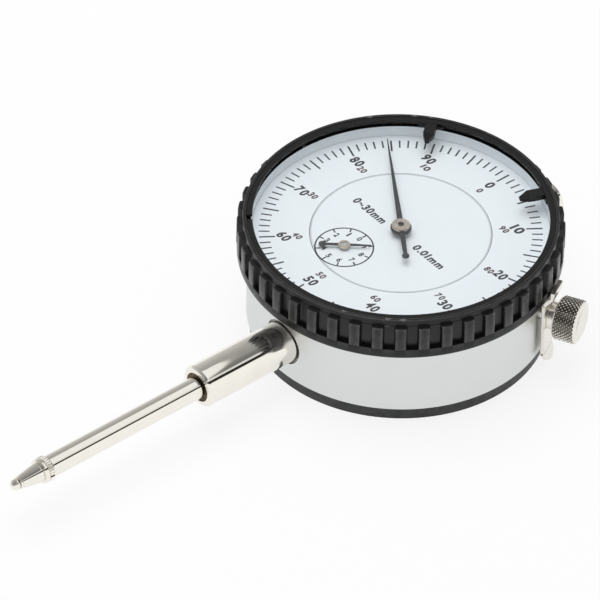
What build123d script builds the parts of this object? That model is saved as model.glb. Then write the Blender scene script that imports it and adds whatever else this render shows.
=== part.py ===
from build123d import *
import os
from math import atan2, cos, degrees, pi, radians, sin, sqrt

# Long stem dial indicator, 30 mm of travel, one turn of the main pointer for each millimetre.
# The part lies on its back: +Z is the normal of the dial, the origin is on the dial's axis at the
# outer face of the back cover, -Y is the way the contact points and +Y is twelve o'clock.

# Case and back cover
case_radius = 27.5
case_wall = 2.5
wall_height = 13.4
cover_inset = 0.5
cover_thickness = 2.3
gasket_thickness = 0.3
ledge_rise = 1.6
ledge_width = 1.4
neck_wall = 1.2
neck_relief = 0.3
cover_screw_count = 4
cover_screw_angle = 45.0
cover_boss_radius = 2.0
cover_boss_height = 4.0
plate_screw_count = 3
plate_boss_radius = 1.9
plate_boss_height = 3.4
boss_bite = 0.3
cut_overrun = 1.0
plate_screw_turn = 30.0

# Screws, one size for the covers and plates
screw_radius = 0.8
screw_head_radius = 1.5
screw_head_height = 0.7
screw_bite = 3.0
slot_width = 0.4
slot_depth = 0.3
screw_clearance = 0.05

# Stem and spindle
spindle_height = 9.6
spindle_radius = 2.1
stem_radius = 4.0
stem_reach = 47.1
stem_bore = 2.85
stem_chamfer = 0.45
stem_seat_radius = 4.4
stem_seat_rise = 0.05
stem_flange_radius = 5.1
stem_flange_thickness = 1.2
flange_seat_gap = 0.2
stem_bush_length = 5.0
stem_bush_recess = 0.9
press_clearance = 0.02
running_clearance = 0.03

# Travel and gear train
travel = 30.0
travel_per_turn = 1.0
gear_teeth = 100
centre_teeth = 10
rack_pinion_teeth = 16
rack_offset = 1.7
gear_wall_gap = 3.85
tooth_addendum = 0.15
tooth_dedendum = 0.2
tooth_share = 0.36
tip_share = 0.2
root_share = 0.43
gear_thickness = 0.8
rack_pinion_width = 3.0
rack_spare = 1.5

# Contact end of the spindle
collar_face = 81.2
collar_length = 2.1
collar_radius = 2.4
cone_base_radius = 1.75
cone_tip_radius = 1.08
cone_length = 4.7
ball_radius = 1.05
contact_reach = 89.6
contact_stub_radius = 1.2
contact_stub_length = 4.0

# Upper end of the spindle
bush_bore_length = 4.2
bush_radius = 3.2
bush_flange_radius = 3.9
bush_flange_thickness = 1.0
bush_spotface = 0.4
knob_gap = 0.1
knob_radius = 3.5
knob_length = 8.1
knob_groove_depth = 0.35
knob_groove_width = 0.8
knob_rim = 1.3
knob_stub_radius = 1.5
knob_stub_length = 5.0

# Movement plates
plate_thickness = 1.2
plate_clearance = 0.15
land_inset = 0.5
land_height = 1.0
gear_room = 4.0
bridge_wall_gap = 4.2
bridge_thickness = 1.2
pillar_inset = 3.8
pillar_spread = 30.0
pillar_radius = 1.75
spigot_radius = 0.9
cock_drop = 4.2
cock_thickness = 1.2
cock_left_inset = 1.95
cock_right_inset = 0.45
cock_width = 6.0
cock_corner = 2.5
cock_pillar_inset = 2.5
cock_pillar_radius = 1.6

# Guide rail, guide pin and return spring
guide_pin_radius = 0.8
guide_pin_reach = 12.2
guide_pin_seat = 1.0
guide_collar_radius = 1.2
guide_collar_length = 0.7
rail_near = 6.2
rail_thickness = 1.2
rail_depth = 5.0
rail_end_wall = 1.6
rail_wall_gap = 2.45
rail_flange_width = 3.0
rail_flange_thickness = 0.8
rail_flange_length = 20.0
rail_screw_pitch = 14.0
rail_screw_head_radius = 1.1
spring_line = 11.0
spring_coil_radius = 1.2
spring_wire_radius = 0.2
spring_pitch = 0.62
spring_post_radius = 0.7
spring_post_bite = 1.8
spring_post_inside = 2.6
spring_gap = 0.25

# Arbors
pivot_radius = 0.4
counter_arbor_radius = 0.8
counter_post_radius = 0.6
centre_arbor_radius = 0.55
takeup_arbor_radius = 0.7
arbor_end_play = 0.1
gear_lift = 0.7
centre_pinion_lift = 0.4
centre_pinion_width = 1.6

# Hairspring
collet_radius = 1.15
collet_height = 0.7
collet_lift = 0.8
hairspring_inner = 1.22
hairspring_outer = 5.6
hairspring_turns = 5
hairspring_points_per_turn = 12
hairspring_strip = 0.12
hairspring_height = 0.5
hairspring_stud_radius = 0.5
hairspring_stud_gap = 0.05

# Dial and pointers
dial_thickness = 0.5
scale_ring_width = 10.45
dial_ring_gap = 0.15
dial_hole_radius = 0.9
dial_foot_radius = 0.5
dial_foot_length = 1.6
dial_foot_place = 12.0
pointer_lift = 1.0
pointer_boss_radius = 1.9
pointer_boss_height = 0.45
pointer_blade_thickness = 0.2
pointer_tip_gap = 2.8
pointer_width = 1.1
pointer_tip_width = 0.16
pointer_tail = 8.15
pointer_tail_width = 0.7
pointer_ball_radius = 0.65
pointer_hub_radius = 1.7
pointer_hub_height = 0.4
pointer_angle = 145.8
small_pointer_lift = 0.3
small_hub_radius = 1.05
small_hub_height = 0.5
small_pointer_length = 4.9
small_pointer_width = 0.6
small_pointer_tail = 3.9
small_tail_width = 0.45
small_ball_radius = 0.7
small_pointer_angle = 48.0

# Bezel, crystal and tolerance markers
bezel_gap = 0.3
bezel_running = 0.1
bezel_overhang = 2.0
bezel_groove_depth = 0.9
bezel_groove_count = 44
bezel_groove_share = 0.52
bezel_groove_phase = 4.9
bezel_shelf = 2.8
bezel_flange_height = 2.0
bezel_flange_setback = 0.1
bezel_flange_chamfer = 0.35
bezel_shelf_width = 1.05
bezel_ring_wall = 0.65
crystal_seat = 0.9
bezel_top = 4.2
rim_chamfer = 0.2
scale_ring_gap = 0.05
glass_room = 2.3
crystal_thickness = 0.55
crystal_gap = 0.05
retaining_width = 1.05
retaining_lip = 0.4
retaining_leg = 0.45
retaining_drop = 0.15
retaining_split = 1.2
retaining_split_angle = 231.5
wire_radius = 0.35
wire_circle_step = 0.05
wire_height = 2.1
wire_groove_play = 0.04
wire_split_angle = 16.0
marker_slack = 0.05
marker_reach = 4.5
marker_width = 2.0
marker_foot_width = 4.6
marker_foot_gap = 0.1
marker_nose = 1.6
marker_nose_width = 0.65
marker_wedge = 0.55
marker_angles = {"tolerance_marker_a": 128.0, "tolerance_marker_b": 66.7}

# Bezel clamp
clamp_angle = 28.0
clamp_height = 11.2
leaf_width = 4.2
leaf_thickness = 0.8
leaf_stand_off = 0.6
leaf_foot_height = 1.0
leaf_foot_flare = 0.8
leaf_foot_rise = 1.9
leaf_knee_height = 14.4
leaf_bezel_gap = 0.2
leaf_top_height = 18.0
clamp_stud_radius = 1.2
clamp_stud_bite = 4.9
clamp_boss_radius = 2.6
clamp_boss_depth = 1.9
clamp_neck_radius = 2.6
clamp_neck_length = 1.3
clamp_washer_radius = 2.9
clamp_washer_thickness = 0.35
clamp_head_radius = 4.1
clamp_head_length = 4.6
clamp_head_chamfer = 0.4

# Heights that follow from the stack of pieces
case_bottom = cover_thickness + gasket_thickness
shoulder = case_bottom + wall_height
ledge_top = shoulder + ledge_rise
plate_top = ledge_top + plate_thickness
land_top = plate_top + land_height
dial_face = land_top + dial_thickness
neck_top = land_top - neck_relief
bridge_top = ledge_top - gear_room
bridge_bottom = bridge_top - bridge_thickness
cock_top = spindle_height - cock_drop
cock_bottom = cock_top - cock_thickness
gear_bottom = bridge_top + gear_lift
gear_top = gear_bottom + gear_thickness
crystal_bottom = dial_face + glass_room
crystal_top = crystal_bottom + crystal_thickness
rim_top = dial_face + bezel_top
shelf_top = dial_face + bezel_shelf

# Radii and places that follow
case_bore = case_radius - case_wall
cover_radius = case_radius - cover_inset
neck_radius = case_bore + neck_wall
ledge_bore = case_bore - ledge_width
cover_boss_circle = case_bore + boss_bite - cover_boss_radius
plate_boss_circle = case_bore + boss_bite - plate_boss_radius
plate_radius = case_bore - plate_clearance
bridge_radius = case_bore - bridge_wall_gap
pillar_circle = bridge_radius - pillar_inset
bezel_grip_radius = case_radius + bezel_overhang
bezel_ring_radius = bezel_grip_radius - bezel_shelf_width
bezel_rim_radius = bezel_ring_radius - bezel_ring_wall
bezel_sight_radius = bezel_rim_radius - crystal_seat
ring_outer = bezel_rim_radius - crystal_gap
retaining_inner_radius = ring_outer - retaining_width
marker_tip_radius = retaining_inner_radius - marker_reach
pointer_length = bezel_sight_radius - pointer_tip_gap
scale_outer_radius = bezel_sight_radius - scale_ring_gap
scale_inner_radius = bezel_sight_radius - scale_ring_width
inner_dial_radius = scale_inner_radius - dial_ring_gap
land_radius = inner_dial_radius - land_inset
turns_ratio = gear_teeth / centre_teeth
rack_turn_travel = travel_per_turn * turns_ratio
rack_pitch = rack_turn_travel / rack_pinion_teeth
rack_pinion_radius = rack_turn_travel / (2 * pi)
gear_module = (case_bore - gear_wall_gap - tooth_addendum) / (gear_teeth + centre_teeth / 2)
gear_radius = gear_module * gear_teeth / 2
centre_radius = gear_module * centre_teeth / 2
centre_distance = gear_radius + centre_radius
counter_x = -(rack_offset + rack_pinion_radius)
counter_y = -sqrt(centre_distance**2 - counter_x**2)
takeup_x = -counter_x
takeup_y = -counter_y
gear_line = degrees(atan2(counter_y, counter_x))
pillar_angles = [gear_line + side + spread for side in (90, -90) for spread in (pillar_spread, -pillar_spread)]
cock_room = sqrt(bridge_radius**2 - counter_y**2)
cock_left = cock_left_inset - cock_room
cock_right = cock_room - cock_right_inset
rail_far = rail_near + rail_thickness
rail_high = sqrt(case_bore**2 - rail_far**2) - rail_wall_gap
rail_low = rail_high - travel - 2 * (guide_pin_radius + running_clearance + rail_end_wall)
guide_pin_place = rail_low + rail_end_wall + running_clearance + guide_pin_radius
plate_screw_step = 360 / plate_screw_count
plate_screw_angles = [gear_line + plate_screw_turn + plate_screw_step * n for n in range(plate_screw_count)]
spotface_y = case_radius - bush_spotface
stem_seat = case_radius + stem_seat_rise
knob_bottom = spotface_y + bush_flange_thickness + knob_gap
ball_place = contact_reach - ball_radius


def at(circle, angle):
    """Point on a circle about the dial's axis."""
    return (circle * cos(radians(angle)), circle * sin(radians(angle)))


def disc(height, radius, holes=()):
    """Round face at a height, with (x, y, radius) holes."""
    with BuildSketch(Plane.XY.offset(height)) as face:
        Circle(radius)
        for x, y, hole in holes:
            with Locations((x, y)):
                Circle(hole, mode=Mode.SUBTRACT)
    return face.sketch


def discs(height, radius, places):
    """Round faces of one radius at a height, one at each place."""
    with BuildSketch(Plane.XY.offset(height)) as faces:
        with Locations(*places):
            Circle(radius)
    return faces.sketch


def turned(corners, x=0.0, y=0.0):
    """Half section of a piece turned about a vertical axis, from its (radius, height) corners."""
    with BuildSketch(Plane(origin=(x, y, 0), x_dir=(1, 0, 0), z_dir=(0, -1, 0))) as section:
        with BuildLine():
            Polyline(*corners, close=True)
        make_face()
    return section.sketch


def upright(x, y):
    """Vertical axis through a place on the dial."""
    return Axis((x, y, 0), (0, 0, 1))


spindle_axis = Axis((0, 0, spindle_height), (0, 1, 0))
spindle_side = Plane(origin=(0, 0, spindle_height), x_dir=(1, 0, 0), z_dir=(0, 0, 1))


def along_spindle(corners):
    """Half section of a piece turned about the spindle's axis, from its (radius, y) corners."""
    with BuildSketch(spindle_side) as section:
        with BuildLine():
            Polyline(*corners, close=True)
        make_face()
    return section.sketch


def across_spindle(y, radius, x=0.0):
    """Round face square to the spindle."""
    with BuildSketch(Plane(origin=(x, y, spindle_height), x_dir=(1, 0, 0), z_dir=(0, 1, 0))) as face:
        Circle(radius)
    return face.sketch


def across_guide_pin(x):
    """Plane square to the guide pin at a distance from the spindle's axis."""
    return Plane(origin=(x, guide_pin_place, spindle_height), x_dir=(0, 1, 0), z_dir=(1, 0, 0))


def tooth_points(teeth, radius, phase):
    """Corners of a toothed rim with straight-sided teeth, the first tooth pointing at the phase angle."""
    corners = []
    pitch = 2 * pi / teeth
    levels = [
        (radius - tooth_dedendum, -root_share),
        (radius + tooth_addendum, -tip_share),
        (radius + tooth_addendum, tip_share),
        (radius - tooth_dedendum, root_share),
    ]
    for n in range(teeth):
        middle = radians(phase) + n * pitch
        for level, share in levels:
            half_angle = share * pitch * radius / level / 2
            corners.append((level * cos(middle + half_angle), level * sin(middle + half_angle)))
    return corners


def toothed(height, teeth, radius, phase, x=0.0, y=0.0):
    """Face of a gear or pinion at a height."""
    with BuildSketch(Plane(origin=(x, y, height), x_dir=(1, 0, 0), z_dir=(0, 0, 1))) as face:
        with BuildLine():
            Polyline(*tooth_points(teeth, radius, phase), close=True)
        make_face()
    return face.sketch


def needle(height, x, y, angle, length, width, tip, tail, tail_width, ball, boss, bore):
    """Face of a pointer: a blade that tapers to its tip, a boss, and a tail that ends in a round."""
    plane = Plane(origin=(x, y, height), x_dir=(cos(radians(angle)), sin(radians(angle)), 0), z_dir=(0, 0, 1))
    with BuildSketch(plane) as face:
        with BuildLine():
            Polyline(
                (length, tip / 2),
                (0, width / 2),
                (-tail, tail_width / 2),
                (-tail, -tail_width / 2),
                (0, -width / 2),
                (length, -tip / 2),
                close=True,
            )
        make_face()
        Circle(boss)
        with Locations((-tail, 0)):
            Circle(ball)
        Circle(bore, mode=Mode.SUBTRACT)
    return face.sketch


def slotted_screws(places, seat, up, head_radius=screw_head_radius):
    """Cheese-head screws: head on the seat height on the side that up gives, shank on the other side."""
    with BuildPart() as screws:
        extrude(discs(seat, head_radius, places), amount=screw_head_height * up)
        extrude(discs(seat, screw_radius, places), amount=-screw_bite * up)
        with BuildSketch(Plane.XY.offset(seat + screw_head_height * up)):
            with Locations(*places):
                Rectangle(3 * head_radius, slot_width)
        extrude(amount=-slot_depth * up, mode=Mode.SUBTRACT)
    return screws.part


cover_screw_step = 360 / cover_screw_count
cover_screw_angles = [cover_screw_angle + cover_screw_step * n for n in range(cover_screw_count)]
cover_places = [at(cover_boss_circle, angle) for angle in cover_screw_angles]
plate_places = [at(plate_boss_circle, angle) for angle in plate_screw_angles]
pillar_places = [at(pillar_circle, angle) for angle in pillar_angles]
cock_places = [(cock_left + cock_pillar_inset, counter_y), (cock_right - cock_pillar_inset, counter_y)]
foot_places = [(-dial_foot_place, 0), (dial_foot_place, 0)]
clamp_outward = (cos(radians(clamp_angle)), sin(radians(clamp_angle)), 0)
clamp_tangent = (-sin(radians(clamp_angle)), cos(radians(clamp_angle)), 0)


def across_clamp(reach):
    """Plane square to the clamp screw at a distance from the dial's axis."""
    x, y = at(reach, clamp_angle)
    return Plane(origin=(x, y, clamp_height), x_dir=clamp_tangent, z_dir=clamp_outward)


# Case: a turned aluminium ring with a ledge for the movement and bosses for the screws
wire_centre = shoulder + wire_height
wire_circle = neck_radius + wire_circle_step
wire_groove_floor = wire_circle - wire_radius - wire_groove_play
wire_groove_half = wire_radius + wire_groove_play
with BuildPart() as case_body:
    revolve(
        turned(
            [
                (case_bore, case_bottom),
                (case_radius, case_bottom),
                (case_radius, shoulder),
                (neck_radius, shoulder),
                (neck_radius, wire_centre - wire_groove_half),
                (wire_groove_floor, wire_centre - wire_groove_half),
                (wire_groove_floor, wire_centre + wire_groove_half),
                (neck_radius, wire_centre + wire_groove_half),
                (neck_radius, neck_top),
                (case_bore, neck_top),
                (case_bore, ledge_top),
                (ledge_bore, ledge_top),
                (ledge_bore, shoulder),
                (case_bore, shoulder),
            ]
        ),
        Axis.Z,
    )
    extrude(discs(case_bottom, cover_boss_radius, cover_places), amount=cover_boss_height)
    extrude(discs(ledge_top, plate_boss_radius, plate_places), amount=-plate_boss_height)
    with BuildSketch(across_clamp(case_bore - clamp_boss_depth)):
        Circle(clamp_boss_radius)
    extrude(amount=clamp_boss_depth + case_wall / 2)
    extrude(
        discs(case_bottom, screw_radius + screw_clearance, cover_places),
        amount=cover_boss_height,
        mode=Mode.SUBTRACT,
    )
    extrude(
        discs(ledge_top, screw_radius + screw_clearance, plate_places),
        amount=-plate_boss_height,
        mode=Mode.SUBTRACT,
    )
    extrude(
        across_spindle(-stem_seat, stem_seat_radius + press_clearance),
        amount=case_wall + cut_overrun,
        mode=Mode.SUBTRACT,
    )
    extrude(
        across_spindle(case_bore - cut_overrun, bush_radius + press_clearance),
        amount=case_wall + 2 * cut_overrun,
        mode=Mode.SUBTRACT,
    )
    extrude(
        across_spindle(spotface_y, bush_flange_radius + press_clearance),
        amount=case_wall,
        mode=Mode.SUBTRACT,
    )
    with BuildSketch(across_clamp(case_bore - clamp_boss_depth - cut_overrun)):
        Circle(clamp_stud_radius + screw_clearance)
    extrude(amount=clamp_boss_depth + case_wall + 2 * cut_overrun, mode=Mode.SUBTRACT)
    spring_wall = -sqrt(case_bore**2 - spring_line**2)
    extrude(
        across_spindle(spring_wall - spring_post_bite, spring_post_radius + press_clearance, spring_line),
        amount=2 * spring_post_bite,
        mode=Mode.SUBTRACT,
    )
case_body.part.label = "case_body"

# Back cover: a black disc, held by countersunk screws through a thin gasket
countersink_depth = screw_head_radius - screw_radius
with BuildPart() as back_cover:
    extrude(disc(0, cover_radius), amount=cover_thickness)
    with Locations(Plane(origin=(0, 0, 0), x_dir=(1, 0, 0), z_dir=(0, 0, -1))):
        with Locations(*[(x, -y) for x, y in cover_places]):
            CounterSinkHole(
                radius=screw_radius + screw_clearance,
                counter_sink_radius=screw_head_radius + screw_clearance,
                depth=cover_thickness,
                counter_sink_angle=90,
            )
back_cover.part.label = "back_cover"

with BuildPart() as cover_gasket:
    extrude(
        disc(cover_thickness, cover_radius, [(x, y, screw_radius + screw_clearance) for x, y in cover_places]),
        amount=gasket_thickness,
    )
    extrude(
        disc(cover_thickness, case_bore - 2 * cover_boss_radius),
        amount=gasket_thickness,
        mode=Mode.SUBTRACT,
    )
cover_gasket.part.label = "cover_gasket"

with BuildPart() as cover_screws:
    for place in cover_places:
        revolve(
            turned(
                [
                    (0, 0.0),
                    (screw_head_radius, 0.0),
                    (screw_radius, countersink_depth),
                    (screw_radius, case_bottom + screw_bite),
                    (0, case_bottom + screw_bite),
                ],
                *place,
            ),
            upright(*place),
        )
    with BuildSketch(Plane.XY):
        with Locations(*cover_places):
            Rectangle(3 * screw_head_radius, slot_width)
    extrude(amount=slot_depth, mode=Mode.SUBTRACT)
cover_screws.part.label = "cover_screws"

# Stem: the long tube the instrument is clamped by, put in from inside against its flange
flange_outer = -sqrt(case_bore**2 - stem_flange_radius**2) + flange_seat_gap
flange_inner = flange_outer + stem_flange_thickness
bush_outer = -stem_reach + stem_bush_recess
with BuildPart() as stem:
    revolve(
        along_spindle(
            [
                (stem_bore, -stem_reach),
                (stem_radius - stem_chamfer, -stem_reach),
                (stem_radius, -stem_reach + stem_chamfer),
                (stem_radius, -stem_seat),
                (stem_seat_radius, -stem_seat),
                (stem_seat_radius, flange_outer),
                (stem_flange_radius, flange_outer),
                (stem_flange_radius, flange_inner),
                (stem_bore, flange_inner),
            ]
        ),
        spindle_axis,
    )
stem.part.label = "stem"

with BuildPart() as stem_bush:
    revolve(
        along_spindle(
            [
                (spindle_radius + running_clearance, bush_outer),
                (stem_bore - press_clearance, bush_outer),
                (stem_bore - press_clearance, bush_outer + stem_bush_length),
                (spindle_radius + running_clearance, bush_outer + stem_bush_length),
            ]
        ),
        spindle_axis,
    )
stem_bush.part.label = "stem_bush"

with BuildPart() as upper_bush:
    revolve(
        along_spindle(
            [
                (spindle_radius + running_clearance, spotface_y - bush_bore_length),
                (bush_radius, spotface_y - bush_bore_length),
                (bush_radius, spotface_y),
                (bush_flange_radius, spotface_y),
                (bush_flange_radius, spotface_y + bush_flange_thickness),
                (spindle_radius + running_clearance, spotface_y + bush_flange_thickness),
            ]
        ),
        spindle_axis,
    )
upper_bush.part.label = "upper_bush"

# Spindle: a ground rod with a rack cut along the side that faces the counter arbor
rack_low = counter_y - travel - rack_spare
rack_high = counter_y + rack_spare
rack_first = round((rack_low - counter_y) / rack_pitch)
rack_last = round((rack_high - counter_y) / rack_pitch)
rack_tip = rack_offset + tooth_addendum
rack_root = rack_offset - tooth_dedendum
with BuildPart() as spindle:
    revolve(
        along_spindle(
            [
                (0, -collar_face),
                (spindle_radius, -collar_face),
                (spindle_radius, knob_bottom),
                (knob_stub_radius, knob_bottom),
                (knob_stub_radius, knob_bottom + knob_stub_length),
                (0, knob_bottom + knob_stub_length),
            ]
        ),
        spindle_axis,
    )
    extrude(
        across_spindle(-collar_face, contact_stub_radius + press_clearance),
        amount=contact_stub_length,
        mode=Mode.SUBTRACT,
    )
    with BuildSketch(spindle_side.offset(-spindle_radius)):
        with BuildLine():
            Polyline(
                (-2 * spindle_radius, rack_low),
                (-rack_tip, rack_low),
                (-rack_tip, rack_high),
                (-2 * spindle_radius, rack_high),
                close=True,
            )
        make_face()
    extrude(amount=2 * spindle_radius, mode=Mode.SUBTRACT)
    with BuildSketch(spindle_side.offset(-spindle_radius)):
        for tooth in range(rack_first, rack_last + 1):
            middle = counter_y + tooth * rack_pitch
            half_mouth = rack_pitch * (1 - tip_share) / 2
            half_floor = rack_pitch * (1 - root_share) / 2
            with BuildLine():
                Polyline(
                    (-2 * spindle_radius, middle - half_mouth),
                    (-rack_tip, middle - half_mouth),
                    (-rack_root, middle - half_floor),
                    (-rack_root, middle + half_floor),
                    (-rack_tip, middle + half_mouth),
                    (-2 * spindle_radius, middle + half_mouth),
                    close=True,
                )
            make_face()
    extrude(amount=2 * spindle_radius, mode=Mode.SUBTRACT)
    with BuildSketch(across_guide_pin(guide_pin_seat)):
        Circle(guide_pin_radius + press_clearance)
    extrude(amount=spindle_radius, mode=Mode.SUBTRACT)
spindle.part.label = "spindle"

with BuildPart() as contact_point:
    revolve(
        along_spindle(
            [
                (0, -collar_face + contact_stub_length - press_clearance),
                (contact_stub_radius, -collar_face + contact_stub_length - press_clearance),
                (contact_stub_radius, -collar_face),
                (collar_radius, -collar_face),
                (collar_radius, -collar_face - collar_length),
                (cone_base_radius, -collar_face - collar_length),
                (cone_tip_radius, -collar_face - collar_length - cone_length),
                (0, -collar_face - collar_length - cone_length),
            ]
        ),
        spindle_axis,
    )
    with Locations((0, -ball_place, spindle_height)):
        Sphere(ball_radius + press_clearance, mode=Mode.SUBTRACT)
contact_point.part.label = "contact_point"

with BuildPart() as contact_ball:
    with Locations((0, -ball_place, spindle_height)):
        Sphere(ball_radius)
contact_ball.part.label = "contact_ball"

knob_top = knob_bottom + knob_length
with BuildPart() as lifting_knob:
    revolve(
        along_spindle(
            [
                (0, knob_bottom + knob_stub_length + press_clearance),
                (knob_stub_radius + press_clearance, knob_bottom + knob_stub_length + press_clearance),
                (knob_stub_radius + press_clearance, knob_bottom),
                (knob_radius - knob_groove_depth, knob_bottom),
                (knob_radius - knob_groove_depth, knob_bottom + knob_groove_width),
                (knob_radius, knob_bottom + knob_groove_width),
                (knob_radius, knob_top - knob_rim - knob_groove_width),
                (knob_radius - knob_groove_depth, knob_top - knob_rim - knob_groove_width),
                (knob_radius - knob_groove_depth, knob_top - knob_rim),
                (knob_radius, knob_top - knob_rim),
                (knob_radius, knob_top - knob_groove_depth),
                (knob_radius - knob_groove_depth, knob_top),
                (0, knob_top),
            ]
        ),
        spindle_axis,
    )
lifting_knob.part.label = "lifting_knob"

# Movement: front plate under the dial, bridge below the gears and a cock under the rack pinion
with BuildPart() as front_plate:
    extrude(disc(ledge_top, plate_radius), amount=plate_thickness)
    extrude(disc(plate_top, land_radius), amount=land_height)
    with BuildSketch(Plane.XY.offset(ledge_top)):
        Circle(centre_arbor_radius + running_clearance)
        with Locations((counter_x, counter_y)):
            Circle(counter_post_radius + running_clearance)
        with Locations((takeup_x, takeup_y)):
            Circle(pivot_radius + running_clearance)
        with Locations(*plate_places):
            Circle(screw_radius + screw_clearance)
        with Locations(*pillar_places):
            Circle(spigot_radius + press_clearance)
        with Locations(*foot_places):
            Circle(dial_foot_radius + press_clearance)
    extrude(amount=plate_thickness + land_height, mode=Mode.SUBTRACT)
front_plate.part.label = "front_plate"

plate_screws = BuildPart()
with plate_screws:
    add(slotted_screws(plate_places, plate_top, 1))
plate_screws.part.label = "plate_screws"

rail_screw_x = rail_near - rail_flange_width / 2
rail_screw_places = [(rail_screw_x, -rail_screw_pitch / 2), (rail_screw_x, rail_screw_pitch / 2)]
with BuildPart() as middle_bridge:
    extrude(disc(bridge_bottom, bridge_radius), amount=bridge_thickness)
    with BuildSketch(Plane.XY.offset(bridge_bottom)):
        Circle(pivot_radius + running_clearance)
        with Locations((counter_x, counter_y)):
            Circle(counter_arbor_radius + running_clearance)
        with Locations((takeup_x, takeup_y)):
            Circle(pivot_radius + running_clearance)
        with Locations(*pillar_places, *rail_screw_places):
            Circle(screw_radius + screw_clearance)
        with Locations(*cock_places):
            Circle(spigot_radius + press_clearance)
    extrude(amount=bridge_thickness, mode=Mode.SUBTRACT)
middle_bridge.part.label = "middle_bridge"

with BuildPart() as bridge_pillars:
    extrude(discs(bridge_top, pillar_radius, pillar_places), amount=gear_room)
    extrude(discs(ledge_top, spigot_radius, pillar_places), amount=plate_thickness)
    extrude(
        discs(bridge_top, screw_radius + screw_clearance, pillar_places),
        amount=screw_bite,
        mode=Mode.SUBTRACT,
    )
bridge_pillars.part.label = "bridge_pillars"

with BuildPart() as bridge_screws:
    add(slotted_screws(pillar_places, bridge_bottom, -1))
bridge_screws.part.label = "bridge_screws"

with BuildPart() as lower_cock:
    with BuildSketch(Plane.XY.offset(cock_bottom)):
        with Locations(((cock_left + cock_right) / 2, counter_y)):
            RectangleRounded(cock_right - cock_left, cock_width, cock_corner)
        with Locations((counter_x, counter_y)):
            Circle(pivot_radius + running_clearance, mode=Mode.SUBTRACT)
        with Locations(*cock_places):
            Circle(screw_radius + screw_clearance, mode=Mode.SUBTRACT)
    extrude(amount=cock_thickness)
lower_cock.part.label = "lower_cock"

with BuildPart() as cock_pillars:
    extrude(discs(cock_top, cock_pillar_radius, cock_places), amount=bridge_bottom - cock_top)
    extrude(discs(bridge_bottom, spigot_radius, cock_places), amount=bridge_thickness)
    extrude(discs(cock_top, screw_radius + screw_clearance, cock_places), amount=screw_bite, mode=Mode.SUBTRACT)
cock_pillars.part.label = "cock_pillars"

with BuildPart() as cock_screws:
    add(slotted_screws(cock_places, cock_bottom, -1))
cock_screws.part.label = "cock_screws"

# Guide rail: its slot keeps the spindle from turning and stops it at both ends of the travel
slot_half = guide_pin_radius + running_clearance
with BuildPart() as guide_rail:
    with BuildSketch(Plane.XY.offset(bridge_bottom)):
        with Locations(((rail_near + rail_far) / 2, (rail_low + rail_high) / 2)):
            Rectangle(rail_thickness, rail_high - rail_low)
    extrude(amount=-rail_depth)
    with BuildSketch(Plane.XY.offset(bridge_bottom)):
        with Locations((rail_screw_x, 0)):
            Rectangle(rail_flange_width, rail_flange_length)
    extrude(amount=-rail_flange_thickness)
    with BuildSketch(Plane(origin=(rail_near, 0, spindle_height), x_dir=(0, 1, 0), z_dir=(1, 0, 0))):
        with Locations((guide_pin_place + travel / 2, 0)):
            SlotCenterToCenter(travel, 2 * slot_half)
    extrude(amount=rail_thickness, mode=Mode.SUBTRACT)
    extrude(
        discs(bridge_bottom - rail_flange_thickness, screw_radius + screw_clearance, rail_screw_places),
        amount=rail_flange_thickness,
        mode=Mode.SUBTRACT,
    )
guide_rail.part.label = "guide_rail"

with BuildPart() as rail_screws:
    extrude(
        discs(bridge_bottom - rail_flange_thickness, rail_screw_head_radius, rail_screw_places),
        amount=-screw_head_height,
    )
    extrude(
        discs(bridge_bottom - rail_flange_thickness, screw_radius, rail_screw_places),
        amount=rail_flange_thickness + bridge_thickness,
    )
rail_screws.part.label = "rail_screws"

with BuildPart() as guide_pin:
    with BuildSketch(across_guide_pin(guide_pin_seat)):
        Circle(guide_pin_radius)
    extrude(amount=guide_pin_reach - guide_pin_seat)
    with BuildSketch(across_guide_pin(spindle_radius + screw_clearance)):
        Circle(guide_collar_radius)
    extrude(amount=guide_collar_length)
guide_pin.part.label = "guide_pin"

# Return spring: a close-wound tension spring from a post in the wall to the guide pin
with BuildPart() as spring_post:
    extrude(
        across_spindle(spring_wall - spring_post_bite + press_clearance, spring_post_radius, spring_line),
        amount=spring_post_bite + spring_post_inside,
    )
spring_post.part.label = "spring_post"

spring_start = spring_wall + spring_post_inside / 2
spring_end = guide_pin_place - guide_pin_radius - spring_gap - spring_wire_radius
with BuildPart() as return_spring:
    with BuildLine() as spring_line_path:
        Helix(
            pitch=spring_pitch,
            height=spring_end - spring_start,
            radius=spring_coil_radius,
            center=(spring_line, spring_start, spindle_height),
            direction=(0, 1, 0),
        )
    with BuildSketch(Plane(origin=spring_line_path.line @ 0, z_dir=spring_line_path.line % 0)):
        Circle(spring_wire_radius)
    sweep(is_frenet=True)
return_spring.part.label = "return_spring"

# Counter arbor: rack pinion, large gear and the small pointer, one turn for ten millimetres
pinion_low = spindle_height - rack_pinion_width / 2
pinion_high = spindle_height + rack_pinion_width / 2
small_hub_bottom = dial_face + small_pointer_lift
small_hub_top = small_hub_bottom + small_hub_height
with BuildPart() as counter_arbor:
    revolve(
        turned(
            [
                (0, cock_bottom),
                (pivot_radius, cock_bottom),
                (pivot_radius, cock_top + arbor_end_play),
                (counter_arbor_radius, cock_top + arbor_end_play),
                (counter_arbor_radius, ledge_top - arbor_end_play),
                (counter_post_radius, ledge_top - arbor_end_play),
                (counter_post_radius, small_hub_top - arbor_end_play),
                (0, small_hub_top - arbor_end_play),
            ],
            counter_x,
            counter_y,
        ),
        upright(counter_x, counter_y),
    )
    extrude(
        toothed(pinion_low, rack_pinion_teeth, rack_pinion_radius, 0, counter_x, counter_y),
        amount=rack_pinion_width,
    )
counter_arbor.part.label = "counter_arbor"

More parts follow.
